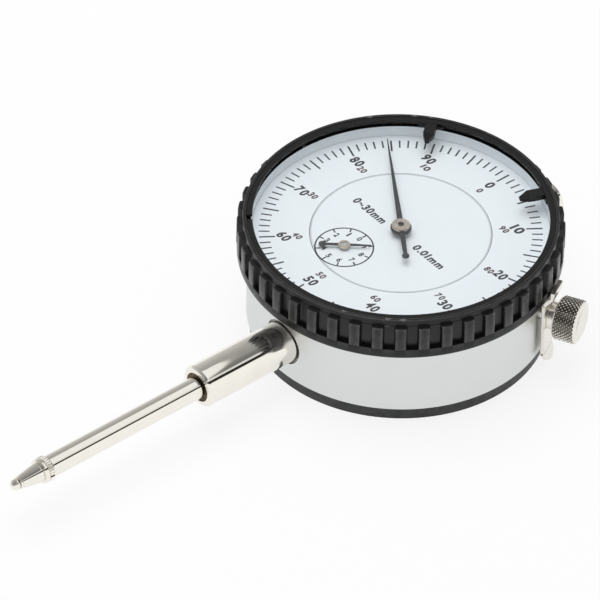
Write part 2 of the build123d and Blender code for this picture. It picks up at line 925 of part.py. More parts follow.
half_tooth = 180 / gear_teeth
with BuildPart() as counter_gear:
    extrude(
        toothed(gear_bottom, gear_teeth, gear_radius, gear_line + 180 + half_tooth, counter_x, counter_y),
        amount=gear_thickness,
    )
    extrude(
        discs(gear_bottom, counter_arbor_radius + press_clearance, [(counter_x, counter_y)]),
        amount=gear_thickness,
        mode=Mode.SUBTRACT,
    )
counter_gear.part.label = "counter_gear"

blade_low = (small_hub_top + small_hub_bottom) / 2
with BuildPart() as counter_pointer:
    extrude(
        needle(
            blade_low,
            counter_x,
            counter_y,
            small_pointer_angle,
            small_pointer_length,
            small_pointer_width,
            pointer_tip_width,
            small_pointer_tail,
            small_tail_width,
            small_ball_radius,
            small_hub_radius,
            counter_post_radius + press_clearance,
        ),
        amount=pointer_blade_thickness,
    )
    extrude(discs(small_hub_bottom, small_hub_radius, [(counter_x, counter_y)]), amount=small_hub_height)
    extrude(
        discs(small_hub_bottom, counter_post_radius + press_clearance, [(counter_x, counter_y)]),
        amount=small_hub_height,
        mode=Mode.SUBTRACT,
    )
counter_pointer.part.label = "counter_pointer"

# Centre arbor: the small pinion between the two large gears, which carries the main pointer
boss_bottom = dial_face + pointer_lift
blade_bottom = boss_bottom + pointer_boss_height
hub_bottom = blade_bottom + pointer_blade_thickness
hub_top = hub_bottom + pointer_hub_height
centre_pinion_bottom = bridge_top + centre_pinion_lift
with BuildPart() as centre_arbor:
    revolve(
        turned(
            [
                (0, bridge_bottom),
                (pivot_radius, bridge_bottom),
                (pivot_radius, bridge_top + arbor_end_play),
                (centre_arbor_radius, bridge_top + arbor_end_play),
                (centre_arbor_radius, hub_bottom + pointer_hub_height / 2),
                (0, hub_bottom + pointer_hub_height / 2),
            ]
        ),
        Axis.Z,
    )
    extrude(toothed(centre_pinion_bottom, centre_teeth, centre_radius, gear_line), amount=centre_pinion_width)
centre_arbor.part.label = "centre_arbor"

with BuildPart() as main_pointer:
    extrude(
        needle(
            blade_bottom,
            0,
            0,
            pointer_angle,
            pointer_length,
            pointer_width,
            pointer_tip_width,
            pointer_tail,
            pointer_tail_width,
            pointer_ball_radius,
            pointer_hub_radius,
            centre_arbor_radius + press_clearance,
        ),
        amount=pointer_blade_thickness,
    )
    extrude(
        disc(boss_bottom, pointer_boss_radius, [(0, 0, centre_arbor_radius + press_clearance)]),
        amount=pointer_boss_height,
    )
main_pointer.part.label = "main_pointer"

with BuildPart() as pointer_hub:
    extrude(
        disc(hub_bottom, pointer_hub_radius, [(0, 0, centre_arbor_radius + press_clearance)]),
        amount=pointer_hub_height,
    )
    upper_edges = pointer_hub.edges().filter_by(GeomType.CIRCLE).sort_by(Axis.Z)[-2:]
    chamfer(upper_edges.sort_by(SortBy.RADIUS)[-1], pointer_hub_height / 3)
pointer_hub.part.label = "pointer_hub"

# Take-up arbor: a second large gear that the hairspring loads, so that the train has no backlash
collet_bottom = gear_top + collet_lift
with BuildPart() as takeup_arbor:
    revolve(
        turned(
            [
                (0, bridge_bottom),
                (pivot_radius, bridge_bottom),
                (pivot_radius, bridge_top + arbor_end_play),
                (takeup_arbor_radius, bridge_top + arbor_end_play),
                (takeup_arbor_radius, ledge_top - arbor_end_play),
                (pivot_radius, ledge_top - arbor_end_play),
                (pivot_radius, plate_top),
                (0, plate_top),
            ],
            takeup_x,
            takeup_y,
        ),
        upright(takeup_x, takeup_y),
    )
takeup_arbor.part.label = "takeup_arbor"

with BuildPart() as takeup_gear:
    extrude(
        toothed(gear_bottom, gear_teeth, gear_radius, gear_line + half_tooth, takeup_x, takeup_y),
        amount=gear_thickness,
    )
    extrude(
        discs(gear_bottom, takeup_arbor_radius + press_clearance, [(takeup_x, takeup_y)]),
        amount=gear_thickness,
        mode=Mode.SUBTRACT,
    )
takeup_gear.part.label = "takeup_gear"

with BuildPart() as hairspring_collet:
    extrude(discs(collet_bottom, collet_radius, [(takeup_x, takeup_y)]), amount=collet_height)
    extrude(
        discs(collet_bottom, takeup_arbor_radius + press_clearance, [(takeup_x, takeup_y)]),
        amount=collet_height,
        mode=Mode.SUBTRACT,
    )
hairspring_collet.part.label = "hairspring_collet"


def spiral(step):
    """Points of the hairspring's edge, a step away from its middle line."""
    count = hairspring_points_per_turn * hairspring_turns
    growth = (hairspring_outer - hairspring_inner) / count
    points = []
    for n in range(count + 1):
        radius = hairspring_inner + growth * n + step
        angle = 2 * pi * n / hairspring_points_per_turn
        points.append((radius * cos(angle), radius * sin(angle)))
    return points


hairspring_plane = Plane(origin=(takeup_x, takeup_y, collet_bottom), x_dir=(1, 0, 0), z_dir=(0, 0, 1))
with BuildPart() as hairspring:
    with BuildSketch(hairspring_plane):
        with BuildLine():
            inner_edge = Spline(*spiral(0))
            outer_edge = Spline(*spiral(hairspring_strip))
            Line(inner_edge @ 0, outer_edge @ 0)
            Line(inner_edge @ 1, outer_edge @ 1)
        make_face()
    extrude(amount=hairspring_height)
hairspring.part.label = "hairspring"

stud_reach = hairspring_outer + hairspring_strip + hairspring_stud_gap + hairspring_stud_radius
with BuildPart() as hairspring_stud:
    extrude(
        discs(ledge_top, hairspring_stud_radius, [(takeup_x + stud_reach, takeup_y)]),
        amount=collet_bottom - ledge_top,
    )
hairspring_stud.part.label = "hairspring_stud"

# Dial: a fixed disc with two feet, inside a scale ring that turns with the bezel
with BuildPart() as inner_dial:
    extrude(
        disc(land_top, inner_dial_radius, [(0, 0, dial_hole_radius), (counter_x, counter_y, dial_hole_radius)]),
        amount=dial_thickness,
    )
    extrude(discs(land_top, dial_foot_radius, foot_places), amount=-dial_foot_length)
inner_dial.part.label = "inner_dial"

with BuildPart() as scale_ring:
    extrude(disc(land_top, scale_outer_radius, [(0, 0, scale_inner_radius)]), amount=dial_thickness)
scale_ring.part.label = "scale_ring"

# Bezel: a moulded ring that turns on the neck of the case, with grip grooves round its skirt
bezel_bottom = shoulder + bezel_gap
bezel_bore = neck_radius + bezel_running
bezel_groove_top = wire_circle + wire_radius + bezel_running
bezel_flange_top = bezel_bottom + bezel_flange_height
bezel_flange_radius = bezel_grip_radius - bezel_flange_setback
with BuildPart() as bezel:
    revolve(
        turned(
            [
                (bezel_bore, bezel_bottom),
                (bezel_flange_radius - bezel_flange_chamfer, bezel_bottom),
                (bezel_flange_radius, bezel_bottom + bezel_flange_chamfer),
                (bezel_flange_radius, bezel_flange_top),
                (bezel_grip_radius, bezel_flange_top + bezel_flange_setback),
                (bezel_grip_radius, shelf_top - rim_chamfer),
                (bezel_grip_radius - rim_chamfer, shelf_top),
                (bezel_ring_radius, shelf_top),
                (bezel_ring_radius, rim_top - rim_chamfer),
                (bezel_ring_radius - rim_chamfer, rim_top),
                (bezel_rim_radius, rim_top),
                (bezel_rim_radius, crystal_bottom),
                (bezel_sight_radius, crystal_bottom),
                (bezel_sight_radius, land_top),
                (bezel_bore, land_top),
                (bezel_bore, wire_centre + wire_groove_half),
                (bezel_groove_top, wire_centre + wire_groove_half),
                (bezel_groove_top, wire_centre - wire_groove_half),
                (bezel_bore, wire_centre - wire_groove_half),
            ]
        ),
        Axis.Z,
    )
    groove_pitch = 2 * pi * bezel_grip_radius / bezel_groove_count
    with BuildSketch(Plane.XY.offset(bezel_flange_top)):
        with PolarLocations(bezel_grip_radius, bezel_groove_count, start_angle=bezel_groove_phase):
            Rectangle(2 * bezel_groove_depth, groove_pitch * bezel_groove_share)
    extrude(amount=shelf_top - bezel_flange_top, mode=Mode.SUBTRACT)
bezel.part.label = "bezel"

with BuildPart() as bezel_wire:
    with BuildSketch(Plane(origin=(0, 0, wire_centre), x_dir=(1, 0, 0), z_dir=(0, -1, 0))):
        with Locations((wire_circle, 0)):
            Circle(wire_radius)
    revolve(axis=Axis.Z, revolution_arc=360 - wire_split_angle)
bezel_wire.part.label = "bezel_wire"

with BuildPart() as crystal:
    extrude(disc(crystal_bottom, ring_outer), amount=crystal_thickness)
crystal.part.label = "crystal"

ring_top = rim_top - retaining_drop
lip_bottom = ring_top - retaining_lip
leg_inner = ring_outer - retaining_leg
with BuildPart() as retaining_ring:
    revolve(
        turned(
            [
                (leg_inner, crystal_top),
                (ring_outer, crystal_top),
                (ring_outer, ring_top),
                (retaining_inner_radius, ring_top),
                (retaining_inner_radius, lip_bottom),
                (leg_inner, lip_bottom),
            ]
        ),
        Axis.Z,
    )
    with BuildSketch(Plane.XY.offset(crystal_top)):
        with PolarLocations(retaining_inner_radius, 1, start_angle=retaining_split_angle):
            Rectangle(4 * (ring_outer - retaining_inner_radius), retaining_split)
    extrude(amount=ring_top - crystal_top, mode=Mode.SUBTRACT)
retaining_ring.part.label = "retaining_ring"


def marker(angle):
    """Tolerance marker: a tongue over the crystal with a wedge nose, and a foot under the ring's lip."""
    outward = (cos(radians(angle)), sin(radians(angle)), 0)
    foot_low = crystal_top + marker_slack
    foot_high = lip_bottom - marker_slack
    neck_end = retaining_inner_radius - marker_foot_gap
    plane = Plane(origin=(0, 0, foot_low), x_dir=outward, z_dir=(0, 0, 1))
    with BuildPart() as tongue:
        with BuildSketch(plane):
            with BuildLine():
                Polyline(
                    (neck_end, marker_width / 2),
                    (marker_tip_radius + marker_nose, marker_width / 2),
                    (marker_tip_radius, marker_nose_width / 2),
                    (marker_tip_radius, -marker_nose_width / 2),
                    (marker_tip_radius + marker_nose, -marker_width / 2),
                    (neck_end, -marker_width / 2),
                    close=True,
                )
            make_face()
        extrude(amount=ring_top - foot_low)
        side = Plane(origin=(0, 0, 0), x_dir=outward, z_dir=(outward[1], -outward[0], 0))
        with BuildSketch(side):
            with BuildLine():
                Polyline(
                    (marker_tip_radius - cut_overrun, ring_top + cut_overrun),
                    (marker_tip_radius - cut_overrun, ring_top - marker_wedge),
                    (marker_tip_radius, ring_top - marker_wedge),
                    (marker_tip_radius + marker_nose, ring_top),
                    (marker_tip_radius + marker_nose, ring_top + cut_overrun),
                    close=True,
                )
            make_face()
        extrude(amount=marker_width, both=True, mode=Mode.SUBTRACT)
        with BuildSketch(plane):
            with BuildLine():
                foot_outer = leg_inner - marker_foot_gap
                half = marker_foot_width / 2
                tip = (sqrt(foot_outer**2 - half**2), half)
                ThreePointArc(tip, (foot_outer, 0), (tip[0], -half))
                foot_inner = neck_end - marker_foot_gap
                Polyline((tip[0], -half), (foot_inner, -half), (foot_inner, half), tip)
            make_face()
        extrude(amount=foot_high - foot_low)
    return tongue.part


markers = {}
for name, angle in marker_angles.items():
    with BuildPart() as tolerance_marker:
        add(marker(angle))
    tolerance_marker.part.label = name
    markers[name] = tolerance_marker.part

# Bezel clamp: a bent leaf that the knurled screw pulls against the skirt of the bezel
leaf_inner = case_radius + leaf_stand_off
leaf_top_inner = bezel_grip_radius + leaf_bezel_gap
side_of_leaf = Plane(origin=(0, 0, 0), x_dir=clamp_outward, z_dir=(clamp_outward[1], -clamp_outward[0], 0))
with BuildPart() as clamp_leaf:
    with BuildSketch(side_of_leaf):
        with BuildLine():
            Polyline(
                (leaf_inner + leaf_foot_flare, leaf_foot_height),
                (leaf_inner, leaf_foot_height + leaf_foot_rise),
                (leaf_inner, leaf_knee_height),
                (leaf_top_inner, bezel_bottom),
                (leaf_top_inner, leaf_top_height),
                (leaf_top_inner + leaf_thickness, leaf_top_height),
                (leaf_top_inner + leaf_thickness, bezel_bottom - leaf_thickness / 2),
                (leaf_inner + leaf_thickness, leaf_knee_height - leaf_thickness / 2),
                (leaf_inner + leaf_thickness, leaf_foot_height + leaf_foot_rise),
                (leaf_inner + leaf_foot_flare + leaf_thickness, leaf_foot_height),
                close=True,
            )
        make_face()
    extrude(amount=leaf_width / 2, both=True)
    with BuildSketch(across_clamp(leaf_inner)):
        Circle(clamp_stud_radius + screw_clearance)
    extrude(amount=leaf_thickness, mode=Mode.SUBTRACT)
clamp_leaf.part.label = "clamp_leaf"

washer_face = leaf_inner + leaf_thickness
neck_face = washer_face + clamp_washer_thickness
head_face = neck_face + clamp_neck_length
head_end = head_face + clamp_head_length
with BuildPart() as clamp_washer:
    with BuildSketch(across_clamp(washer_face)):
        Circle(clamp_washer_radius)
        Circle(clamp_stud_radius + screw_clearance, mode=Mode.SUBTRACT)
    extrude(amount=clamp_washer_thickness)
clamp_washer.part.label = "clamp_washer"

with BuildPart() as clamp_screw:
    with BuildSketch(across_clamp(case_radius - clamp_stud_bite)):
        Circle(clamp_stud_radius)
    extrude(amount=head_face - case_radius + clamp_stud_bite)
    with BuildSketch(across_clamp(neck_face)):
        Circle(clamp_neck_radius)
    extrude(amount=clamp_neck_length)
    with BuildSketch(across_clamp(head_face)):
        Circle(clamp_head_radius)
    extrude(amount=clamp_head_length)
    chamfer(clamp_screw.edges().filter_by(GeomType.CIRCLE).sort_by(SortBy.RADIUS)[-2:], clamp_head_chamfer)
clamp_screw.part.label = "clamp_screw"

pieces = [
    case_body.part,
    back_cover.part,
    cover_gasket.part,
    cover_screws.part,
    stem.part,
    stem_bush.part,
    upper_bush.part,
    spindle.part,
    contact_point.part,
    contact_ball.part,
    lifting_knob.part,
    front_plate.part,
    plate_screws.part,
    middle_bridge.part,
    bridge_pillars.part,
    bridge_screws.part,
    lower_cock.part,
    cock_pillars.part,
    cock_screws.part,
    guide_rail.part,
    rail_screws.part,
    guide_pin.part,
    spring_post.part,
    return_spring.part,
    counter_arbor.part,
    counter_gear.part,
    counter_pointer.part,
    centre_arbor.part,
    main_pointer.part,
    pointer_hub.part,
    takeup_arbor.part,
    takeup_gear.part,
    hairspring_collet.part,
    hairspring.part,
    hairspring_stud.part,
    inner_dial.part,
    scale_ring.part,
    bezel.part,
    bezel_wire.part,
    crystal.part,
    retaining_ring.part,
    *markers.values(),
    clamp_leaf.part,
    clamp_washer.part,
    clamp_screw.part,
]
os.makedirs("parts", exist_ok=True)
for piece in pieces:
    export_step(piece, f"parts/{piece.label}.step")
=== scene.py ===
import bmesh
import bpy
from math import ceil, cos, pi, radians, sin, sqrt
from mathutils import Matrix, Vector


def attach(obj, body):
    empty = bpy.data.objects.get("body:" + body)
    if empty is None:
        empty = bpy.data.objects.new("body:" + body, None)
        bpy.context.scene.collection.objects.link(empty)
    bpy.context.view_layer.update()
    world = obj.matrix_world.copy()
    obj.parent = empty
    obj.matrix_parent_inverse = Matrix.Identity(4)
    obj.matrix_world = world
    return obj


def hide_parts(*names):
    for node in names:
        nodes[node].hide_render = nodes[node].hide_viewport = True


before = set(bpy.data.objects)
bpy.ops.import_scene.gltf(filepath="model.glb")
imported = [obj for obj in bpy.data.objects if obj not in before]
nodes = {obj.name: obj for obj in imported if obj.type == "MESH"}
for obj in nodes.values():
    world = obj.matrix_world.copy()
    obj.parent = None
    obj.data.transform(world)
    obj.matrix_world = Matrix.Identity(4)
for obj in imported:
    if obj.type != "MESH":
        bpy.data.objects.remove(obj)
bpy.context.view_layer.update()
scene = bpy.context.scene
mm = 0.001

# Camera
# A long lens looks down on the dial from beyond the stem, so that the instrument runs from the lower
# left to the upper right. Its aim is given by where the dial's centre has to come in the picture.
camera_azimuth = radians(49.45)
camera_elevation = radians(41.1)
camera_roll = radians(1.25)
camera_distance = 2.2
picture_width = 600 / 5.575 * mm
dial_centre = Vector((0, 0, 20.3 * mm))
aim_left = 18.08 * mm
aim_down = 11.87 * mm
toward_camera = Vector(
    (
        sin(camera_azimuth) * cos(camera_elevation),
        -cos(camera_azimuth) * cos(camera_elevation),
        sin(camera_elevation),
    )
)
level_right = Vector((cos(camera_azimuth), sin(camera_azimuth), 0))
level_up = toward_camera.cross(level_right)
picture_right = cos(camera_roll) * level_right + sin(camera_roll) * level_up
picture_up = cos(camera_roll) * level_up - sin(camera_roll) * level_right
lens = bpy.data.cameras.new("long_lens")
lens.lens = lens.sensor_width * camera_distance / picture_width
lens.clip_start = 0.05
lens.clip_end = 20
camera = bpy.data.objects.new("camera", lens)
aim = dial_centre - aim_left * picture_right - aim_down * picture_up
stand = aim + camera_distance * toward_camera
camera.matrix_world = Matrix(
    (
        (picture_right.x, picture_up.x, toward_camera.x, stand.x),
        (picture_right.y, picture_up.y, toward_camera.y, stand.y),
        (picture_right.z, picture_up.z, toward_camera.z, stand.z),
        (0, 0, 0, 1),
    )
)
scene.collection.objects.link(camera)
scene.camera = camera
scene.view_settings.view_transform = "Standard"


# Studio: floor, room and lamps
# The instrument lies on a white table in a white room. Camera, gloss and glass see the table and the room
# as white paper; a long dark slit and a dimmer ceiling give the polished rods their lengthwise bands.
def seen_directly(tree):
    """1 for rays that come from the camera, from a reflection or through glass."""
    light_path = tree.nodes.new("ShaderNodeLightPath")
    kinds = ["Is Camera Ray", "Is Glossy Ray", "Is Transmission Ray"]
    total = light_path.outputs[kinds[0]]
    for kind in kinds[1:]:
        larger = tree.nodes.new("ShaderNodeMath")
        larger.operation = "MAXIMUM"
        tree.links.new(total, larger.inputs[0])
        tree.links.new(light_path.outputs[kind], larger.inputs[1])
        total = larger.outputs[0]
    return total, light_path


table_half = 5.0
table_white = 0.95
table_paper_share = 0.84
table_mesh = bpy.data.meshes.new("table")
table_mesh.from_pydata(
    [(x, y, -0.00002) for x, y in [(-1, -1), (1, -1), (1, 1), (-1, 1)]],
    [],
    [(0, 1, 2, 3)],
)
table_mesh.transform(Matrix.Scale(table_half, 4, (1, 0, 0)) @ Matrix.Scale(table_half, 4, (0, 1, 0)))
table = bpy.data.objects.new("table", table_mesh)
scene.collection.objects.link(table)
table_paint = bpy.data.materials.new("table_paint")
table_paint.use_nodes = True
tree = table_paint.node_tree
matt = tree.nodes["Principled BSDF"]
matt.inputs["Base Color"].default_value = (table_white, table_white, table_white, 1)
matt.inputs["Roughness"].default_value = 0.9
matt.inputs["Specular IOR Level"].default_value = 0.1
paper = tree.nodes.new("ShaderNodeEmission")
paper.inputs["Strength"].default_value = 1.0
share = tree.nodes.new("ShaderNodeMath")
share.operation = "MULTIPLY"
share.inputs[1].default_value = table_paper_share
tree.links.new(seen_directly(tree)[0], share.inputs[0])
blend = tree.nodes.new("ShaderNodeMixShader")
tree.links.new(share.outputs[0], blend.inputs[0])
tree.links.new(matt.outputs[0], blend.inputs[1])
tree.links.new(paper.outputs[0], blend.inputs[2])
tree.links.new(blend.outputs[0], tree.nodes["Material Output"].inputs["Surface"])
table_mesh.materials.append(table_paint)

room_light = 0.50
room_bands = [
    (-180, 0.90),
    (-90, 0.97),
    (0, 1.0),
    (31, 1.0),
    (33, 0.01),
    (45, 0.01),
    (47, 0.85),
    (53, 0.80),
    (58, 0.17),
    (72, 0.20),
    (84, 0.30),
    (131, 0.42),
    (170, 0.62),
    (180, 0.85),
]
world = bpy.data.worlds.new("room")
world.use_nodes = True
scene.world = world
tree = world.node_tree
plain = tree.nodes["Background"]
plain.inputs["Color"].default_value = (0.97, 0.985, 1, 1)
plain.inputs["Strength"].default_value = room_light
direction = tree.nodes.new("ShaderNodeTexCoord")
split = tree.nodes.new("ShaderNodeSeparateXYZ")
tree.links.new(direction.outputs["Generated"], split.inputs[0])
turn = tree.nodes.new("ShaderNodeMath")
turn.operation = "ARCTAN2"
tree.links.new(split.outputs["Z"], turn.inputs[0])
tree.links.new(split.outputs["X"], turn.inputs[1])
place = tree.nodes.new("ShaderNodeMapRange")
place.inputs["From Min"].default_value = -pi
place.inputs["From Max"].default_value = pi
tree.links.new(turn.outputs[0], place.inputs["Value"])
bands = tree.nodes.new("ShaderNodeValToRGB")
for n, (angle, level) in enumerate(room_bands):
    spot = (angle + 180) / 360
    stop = bands.color_ramp.elements[n] if n < 2 else bands.color_ramp.elements.new(spot)
    stop.position = spot
    stop.color = (level, level, level * 0.985, 1)
tree.links.new(place.outputs[0], bands.inputs[0])
gloss = tree.nodes.new("ShaderNodeBackground")
tree.links.new(bands.outputs["Color"], gloss.inputs["Color"])
white = tree.nodes.new("ShaderNodeBackground")
white.inputs["Color"].default_value = (1, 1, 1, 1)
direct, light_path = seen_directly(tree)
for_gloss = tree.nodes.new("ShaderNodeMixShader")
tree.links.new(light_path.outputs["Is Glossy Ray"], for_gloss.inputs[0])
tree.links.new(white.outputs[0], for_gloss.inputs[1])
tree.links.new(gloss.outputs[0], for_gloss.inputs[2])
for_all = tree.nodes.new("ShaderNodeMixShader")
tree.links.new(direct, for_all.inputs[0])
tree.links.new(plain.outputs[0], for_all.inputs[1])
tree.links.new(for_gloss.outputs[0], for_all.inputs[2])
tree.links.new(for_all.outputs[0], tree.nodes["World Output"].inputs["Surface"])


lamp_place = Vector((-0.15, 0.02, 0.75))
soft_lamp = bpy.data.lights.new("soft_lamp", "AREA")
soft_lamp.size = 0.70
soft_lamp.energy = 3.8
lamp_stand = bpy.data.objects.new("soft_lamp", soft_lamp)
lamp_stand.location = lamp_place
lamp_stand.rotation_euler = (dial_centre - lamp_place).to_track_quat("-Z", "Y").to_euler()
lamp_stand.visible_glossy = False
scene.collection.objects.link(lamp_stand)

# A white card hangs over the spindle, seen only in its polish.
card_height = 0.07
card_corners = [(-0.020, -0.053), (0.042, -0.053), (0.042, -0.010), (-0.020, -0.010)]
card_mesh = bpy.data.meshes.new("spindle_card")
card_mesh.from_pydata(
    [(x, y, card_height) for x, y in card_corners],
    [],
    [(0, 1, 2, 3)],
)
card = bpy.data.objects.new("spindle_card", card_mesh)
scene.collection.objects.link(card)
card.visible_camera = False
card.visible_diffuse = False
card.visible_transmission = False
card.visible_shadow = False
card_paint = bpy.data.materials.new("card_paint")
card_paint.use_nodes = True
tree = card_paint.node_tree
glow = tree.nodes.new("ShaderNodeEmission")
glow.inputs["Strength"].default_value = 0.95
tree.links.new(glow.outputs[0], tree.nodes["Material Output"].inputs["Surface"])
card_mesh.materials.append(card_paint)


# Case
# A cup turned from aluminium bar, blasted to a satin silver-grey, with the ledge and bosses for the
# movement inside. Its gasket and black painted cover close the back and show only at the lower edge.
def node_group(name, inputs, outputs):
    """Empty group with value, colour or vector sockets, and its two end nodes."""
    group = bpy.data.node_groups.new(name, "ShaderNodeTree")
    for socket, kind, value in inputs:
        made = group.interface.new_socket(socket, in_out="INPUT", socket_type="NodeSocket" + kind)
        if value is not None:
            made.default_value = value
    for socket, kind in outputs:
        group.interface.new_socket(socket, in_out="OUTPUT", socket_type="NodeSocket" + kind)
    return group, group.nodes.new("NodeGroupInput"), group.nodes.new("NodeGroupOutput")


mottle, given, result = node_group(
    "mottle",
    [
        ("Colour", "Color", (1, 1, 1, 1)),
        ("Spots", "Float", 900.0),
        ("Tone", "Float", 0.1),
        ("Roughness", "Float", 0.4),
        ("Spread", "Float", 0.1),
    ],
    [("Colour", "Color"), ("Roughness", "Float"), ("Height", "Float")],
)
where = mottle.nodes.new("ShaderNodeTexCoord")
cloud = mottle.nodes.new("ShaderNodeTexNoise")
cloud.inputs["Detail"].default_value = 4
mottle.links.new(where.outputs["Object"], cloud.inputs["Vector"])
mottle.links.new(given.outputs["Spots"], cloud.inputs["Scale"])
centred = mottle.nodes.new("ShaderNodeMath")
centred.operation = "SUBTRACT"
centred.inputs[1].default_value = 0.5
mottle.links.new(cloud.outputs["Fac"], centred.inputs[0])
tone = mottle.nodes.new("ShaderNodeMath")
tone.operation = "MULTIPLY_ADD"
tone.inputs[2].default_value = 1.0
mottle.links.new(centred.outputs[0], tone.inputs[0])
mottle.links.new(given.outputs["Tone"], tone.inputs[1])
shaded = mottle.nodes.new("ShaderNodeVectorMath")
shaded.operation = "SCALE"
mottle.links.new(given.outputs["Colour"], shaded.inputs[0])
mottle.links.new(tone.outputs[0], shaded.inputs["Scale"])
rough = mottle.nodes.new("ShaderNodeMath")
rough.operation = "MULTIPLY_ADD"
mottle.links.new(centred.outputs[0], rough.inputs[0])
mottle.links.new(given.outputs["Spread"], rough.inputs[1])
mottle.links.new(given.outputs["Roughness"], rough.inputs[2])
mottle.links.new(shaded.outputs[0], result.inputs["Colour"])
mottle.links.new(rough.outputs[0], result.inputs["Roughness"])
mottle.links.new(cloud.outputs["Fac"], result.inputs["Height"])

tool_lines, given, result = node_group(
    "tool_lines",
    [("Along", "Float", 0.0), ("Lines", "Float", 20000.0)],
    [("Height", "Float")],
)
spaced = tool_lines.nodes.new("ShaderNodeMath")
spaced.operation = "MULTIPLY"
tool_lines.links.new(given.outputs["Along"], spaced.inputs[0])
tool_lines.links.new(given.outputs["Lines"], spaced.inputs[1])
scratch = tool_lines.nodes.new("ShaderNodeTexNoise")
scratch.noise_dimensions = "1D"
scratch.inputs["Scale"].default_value = 1.0
scratch.inputs["Detail"].default_value = 2
tool_lines.links.new(spaced.outputs[0], scratch.inputs["W"])
tool_lines.links.new(scratch.outputs["Fac"], result.inputs["Height"])

# Sharp edges take a lighter colour in noisy patches: partly edge wear, partly painted highlight along the
# edges.
worn_and_highlit_edges, given, result = node_group(
    "worn_and_highlit_edges",
    [("Colour", "Color", (0, 0, 0, 1)), ("Edge_wear_and_highlight", "Color", (1, 1, 1, 1)), ("Amount", "Float", 0.5)],
    [("Colour", "Color")],
)
form = worn_and_highlit_edges.nodes.new("ShaderNodeNewGeometry")
edge = worn_and_highlit_edges.nodes.new("ShaderNodeMapRange")
edge.inputs["From Min"].default_value = 0.52
edge.inputs["From Max"].default_value = 0.60
worn_and_highlit_edges.links.new(form.outputs["Pointiness"], edge.inputs["Value"])
patch_place = worn_and_highlit_edges.nodes.new("ShaderNodeTexCoord")
patch = worn_and_highlit_edges.nodes.new("ShaderNodeTexNoise")
patch.inputs["Scale"].default_value = 700
worn_and_highlit_edges.links.new(patch_place.outputs["Object"], patch.inputs["Vector"])
worn_and_lit = worn_and_highlit_edges.nodes.new("ShaderNodeMath")
worn_and_lit.operation = "MULTIPLY"
worn_and_highlit_edges.links.new(edge.outputs[0], worn_and_lit.inputs[0])
worn_and_highlit_edges.links.new(patch.outputs["Fac"], worn_and_lit.inputs[1])
worn_and_lit_share = worn_and_highlit_edges.nodes.new("ShaderNodeMath")
worn_and_lit_share.operation = "MULTIPLY"
worn_and_highlit_edges.links.new(worn_and_lit.outputs[0], worn_and_lit_share.inputs[0])
worn_and_highlit_edges.links.new(given.outputs["Amount"], worn_and_lit_share.inputs[1])
mixed = worn_and_highlit_edges.nodes.new("ShaderNodeMix")
mixed.data_type = "RGBA"
worn_and_highlit_edges.links.new(worn_and_lit_share.outputs[0], mixed.inputs["Factor"])
worn_and_highlit_edges.links.new(given.outputs["Colour"], mixed.inputs["A"])
worn_and_highlit_edges.links.new(given.outputs["Edge_wear_and_highlight"], mixed.inputs["B"])
worn_and_highlit_edges.links.new(mixed.outputs["Result"], result.inputs["Colour"])


def surface(
    name,
    colour,
    roughness,
    spread=0.08,
    tone=0.12,
    spots=900.0,
    metallic=0.0,
    bump=0.0,
    edge_wear_and_highlight_colour=None,
    edge_wear_and_highlight_amount=0.9,
    lines=None,
    line_depth=0.0,
):
    """Material with mottled colour and roughness, and lighter edges, partly wear and partly painted
    highlight, or tool lines where they are asked for.
    """
    material = bpy.data.materials.new(name)
    material.use_nodes = True
    tree = material.node_tree
    shader = tree.nodes["Principled BSDF"]
    shader.inputs["Metallic"].default_value = metallic
    base = tree.nodes.new("ShaderNodeGroup")
    base.node_tree = mottle
    base.inputs["Colour"].default_value = (*colour, 1)
    base.inputs["Spots"].default_value = spots
    base.inputs["Tone"].default_value = tone
    base.inputs["Roughness"].default_value = roughness
    base.inputs["Spread"].default_value = spread
    tree.links.new(base.outputs["Roughness"], shader.inputs["Roughness"])
    painted = base.outputs["Colour"]
    if edge_wear_and_highlight_colour:
        edges = tree.nodes.new("ShaderNodeGroup")
        edges.node_tree = worn_and_highlit_edges
        edges.inputs["Edge_wear_and_highlight"].default_value = (*edge_wear_and_highlight_colour, 1)
        edges.inputs["Amount"].default_value = edge_wear_and_highlight_amount
        tree.links.new(painted, edges.inputs["Colour"])
        painted = edges.outputs["Colour"]
    tree.links.new(painted, shader.inputs["Base Color"])
    height = base.outputs["Height"] if bump else None
    depth = bump
    if lines:
        coordinate, per_metre = lines
        point = tree.nodes.new("ShaderNodeTexCoord")
        parts = tree.nodes.new("ShaderNodeSeparateXYZ")
        tree.links.new(point.outputs["Object"], parts.inputs[0])
        cut = tree.nodes.new("ShaderNodeGroup")
        cut.node_tree = tool_lines
        cut.inputs["Lines"].default_value = per_metre
        tree.links.new(parts.outputs[coordinate], cut.inputs["Along"])
        height = cut.outputs["Height"]
        depth = line_depth
    if height:
        relief = tree.nodes.new("ShaderNodeBump")
        relief.inputs["Strength"].default_value = 1.0
        relief.inputs["Distance"].default_value = depth
        tree.links.new(height, relief.inputs["Height"])
        tree.links.new(relief.outputs[0], shader.inputs["Normal"])
    return material, shader


def dress(material, *names):
    """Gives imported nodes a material."""
    for name in names:
        for holder in nodes[name].material_slots:
            holder.material = material


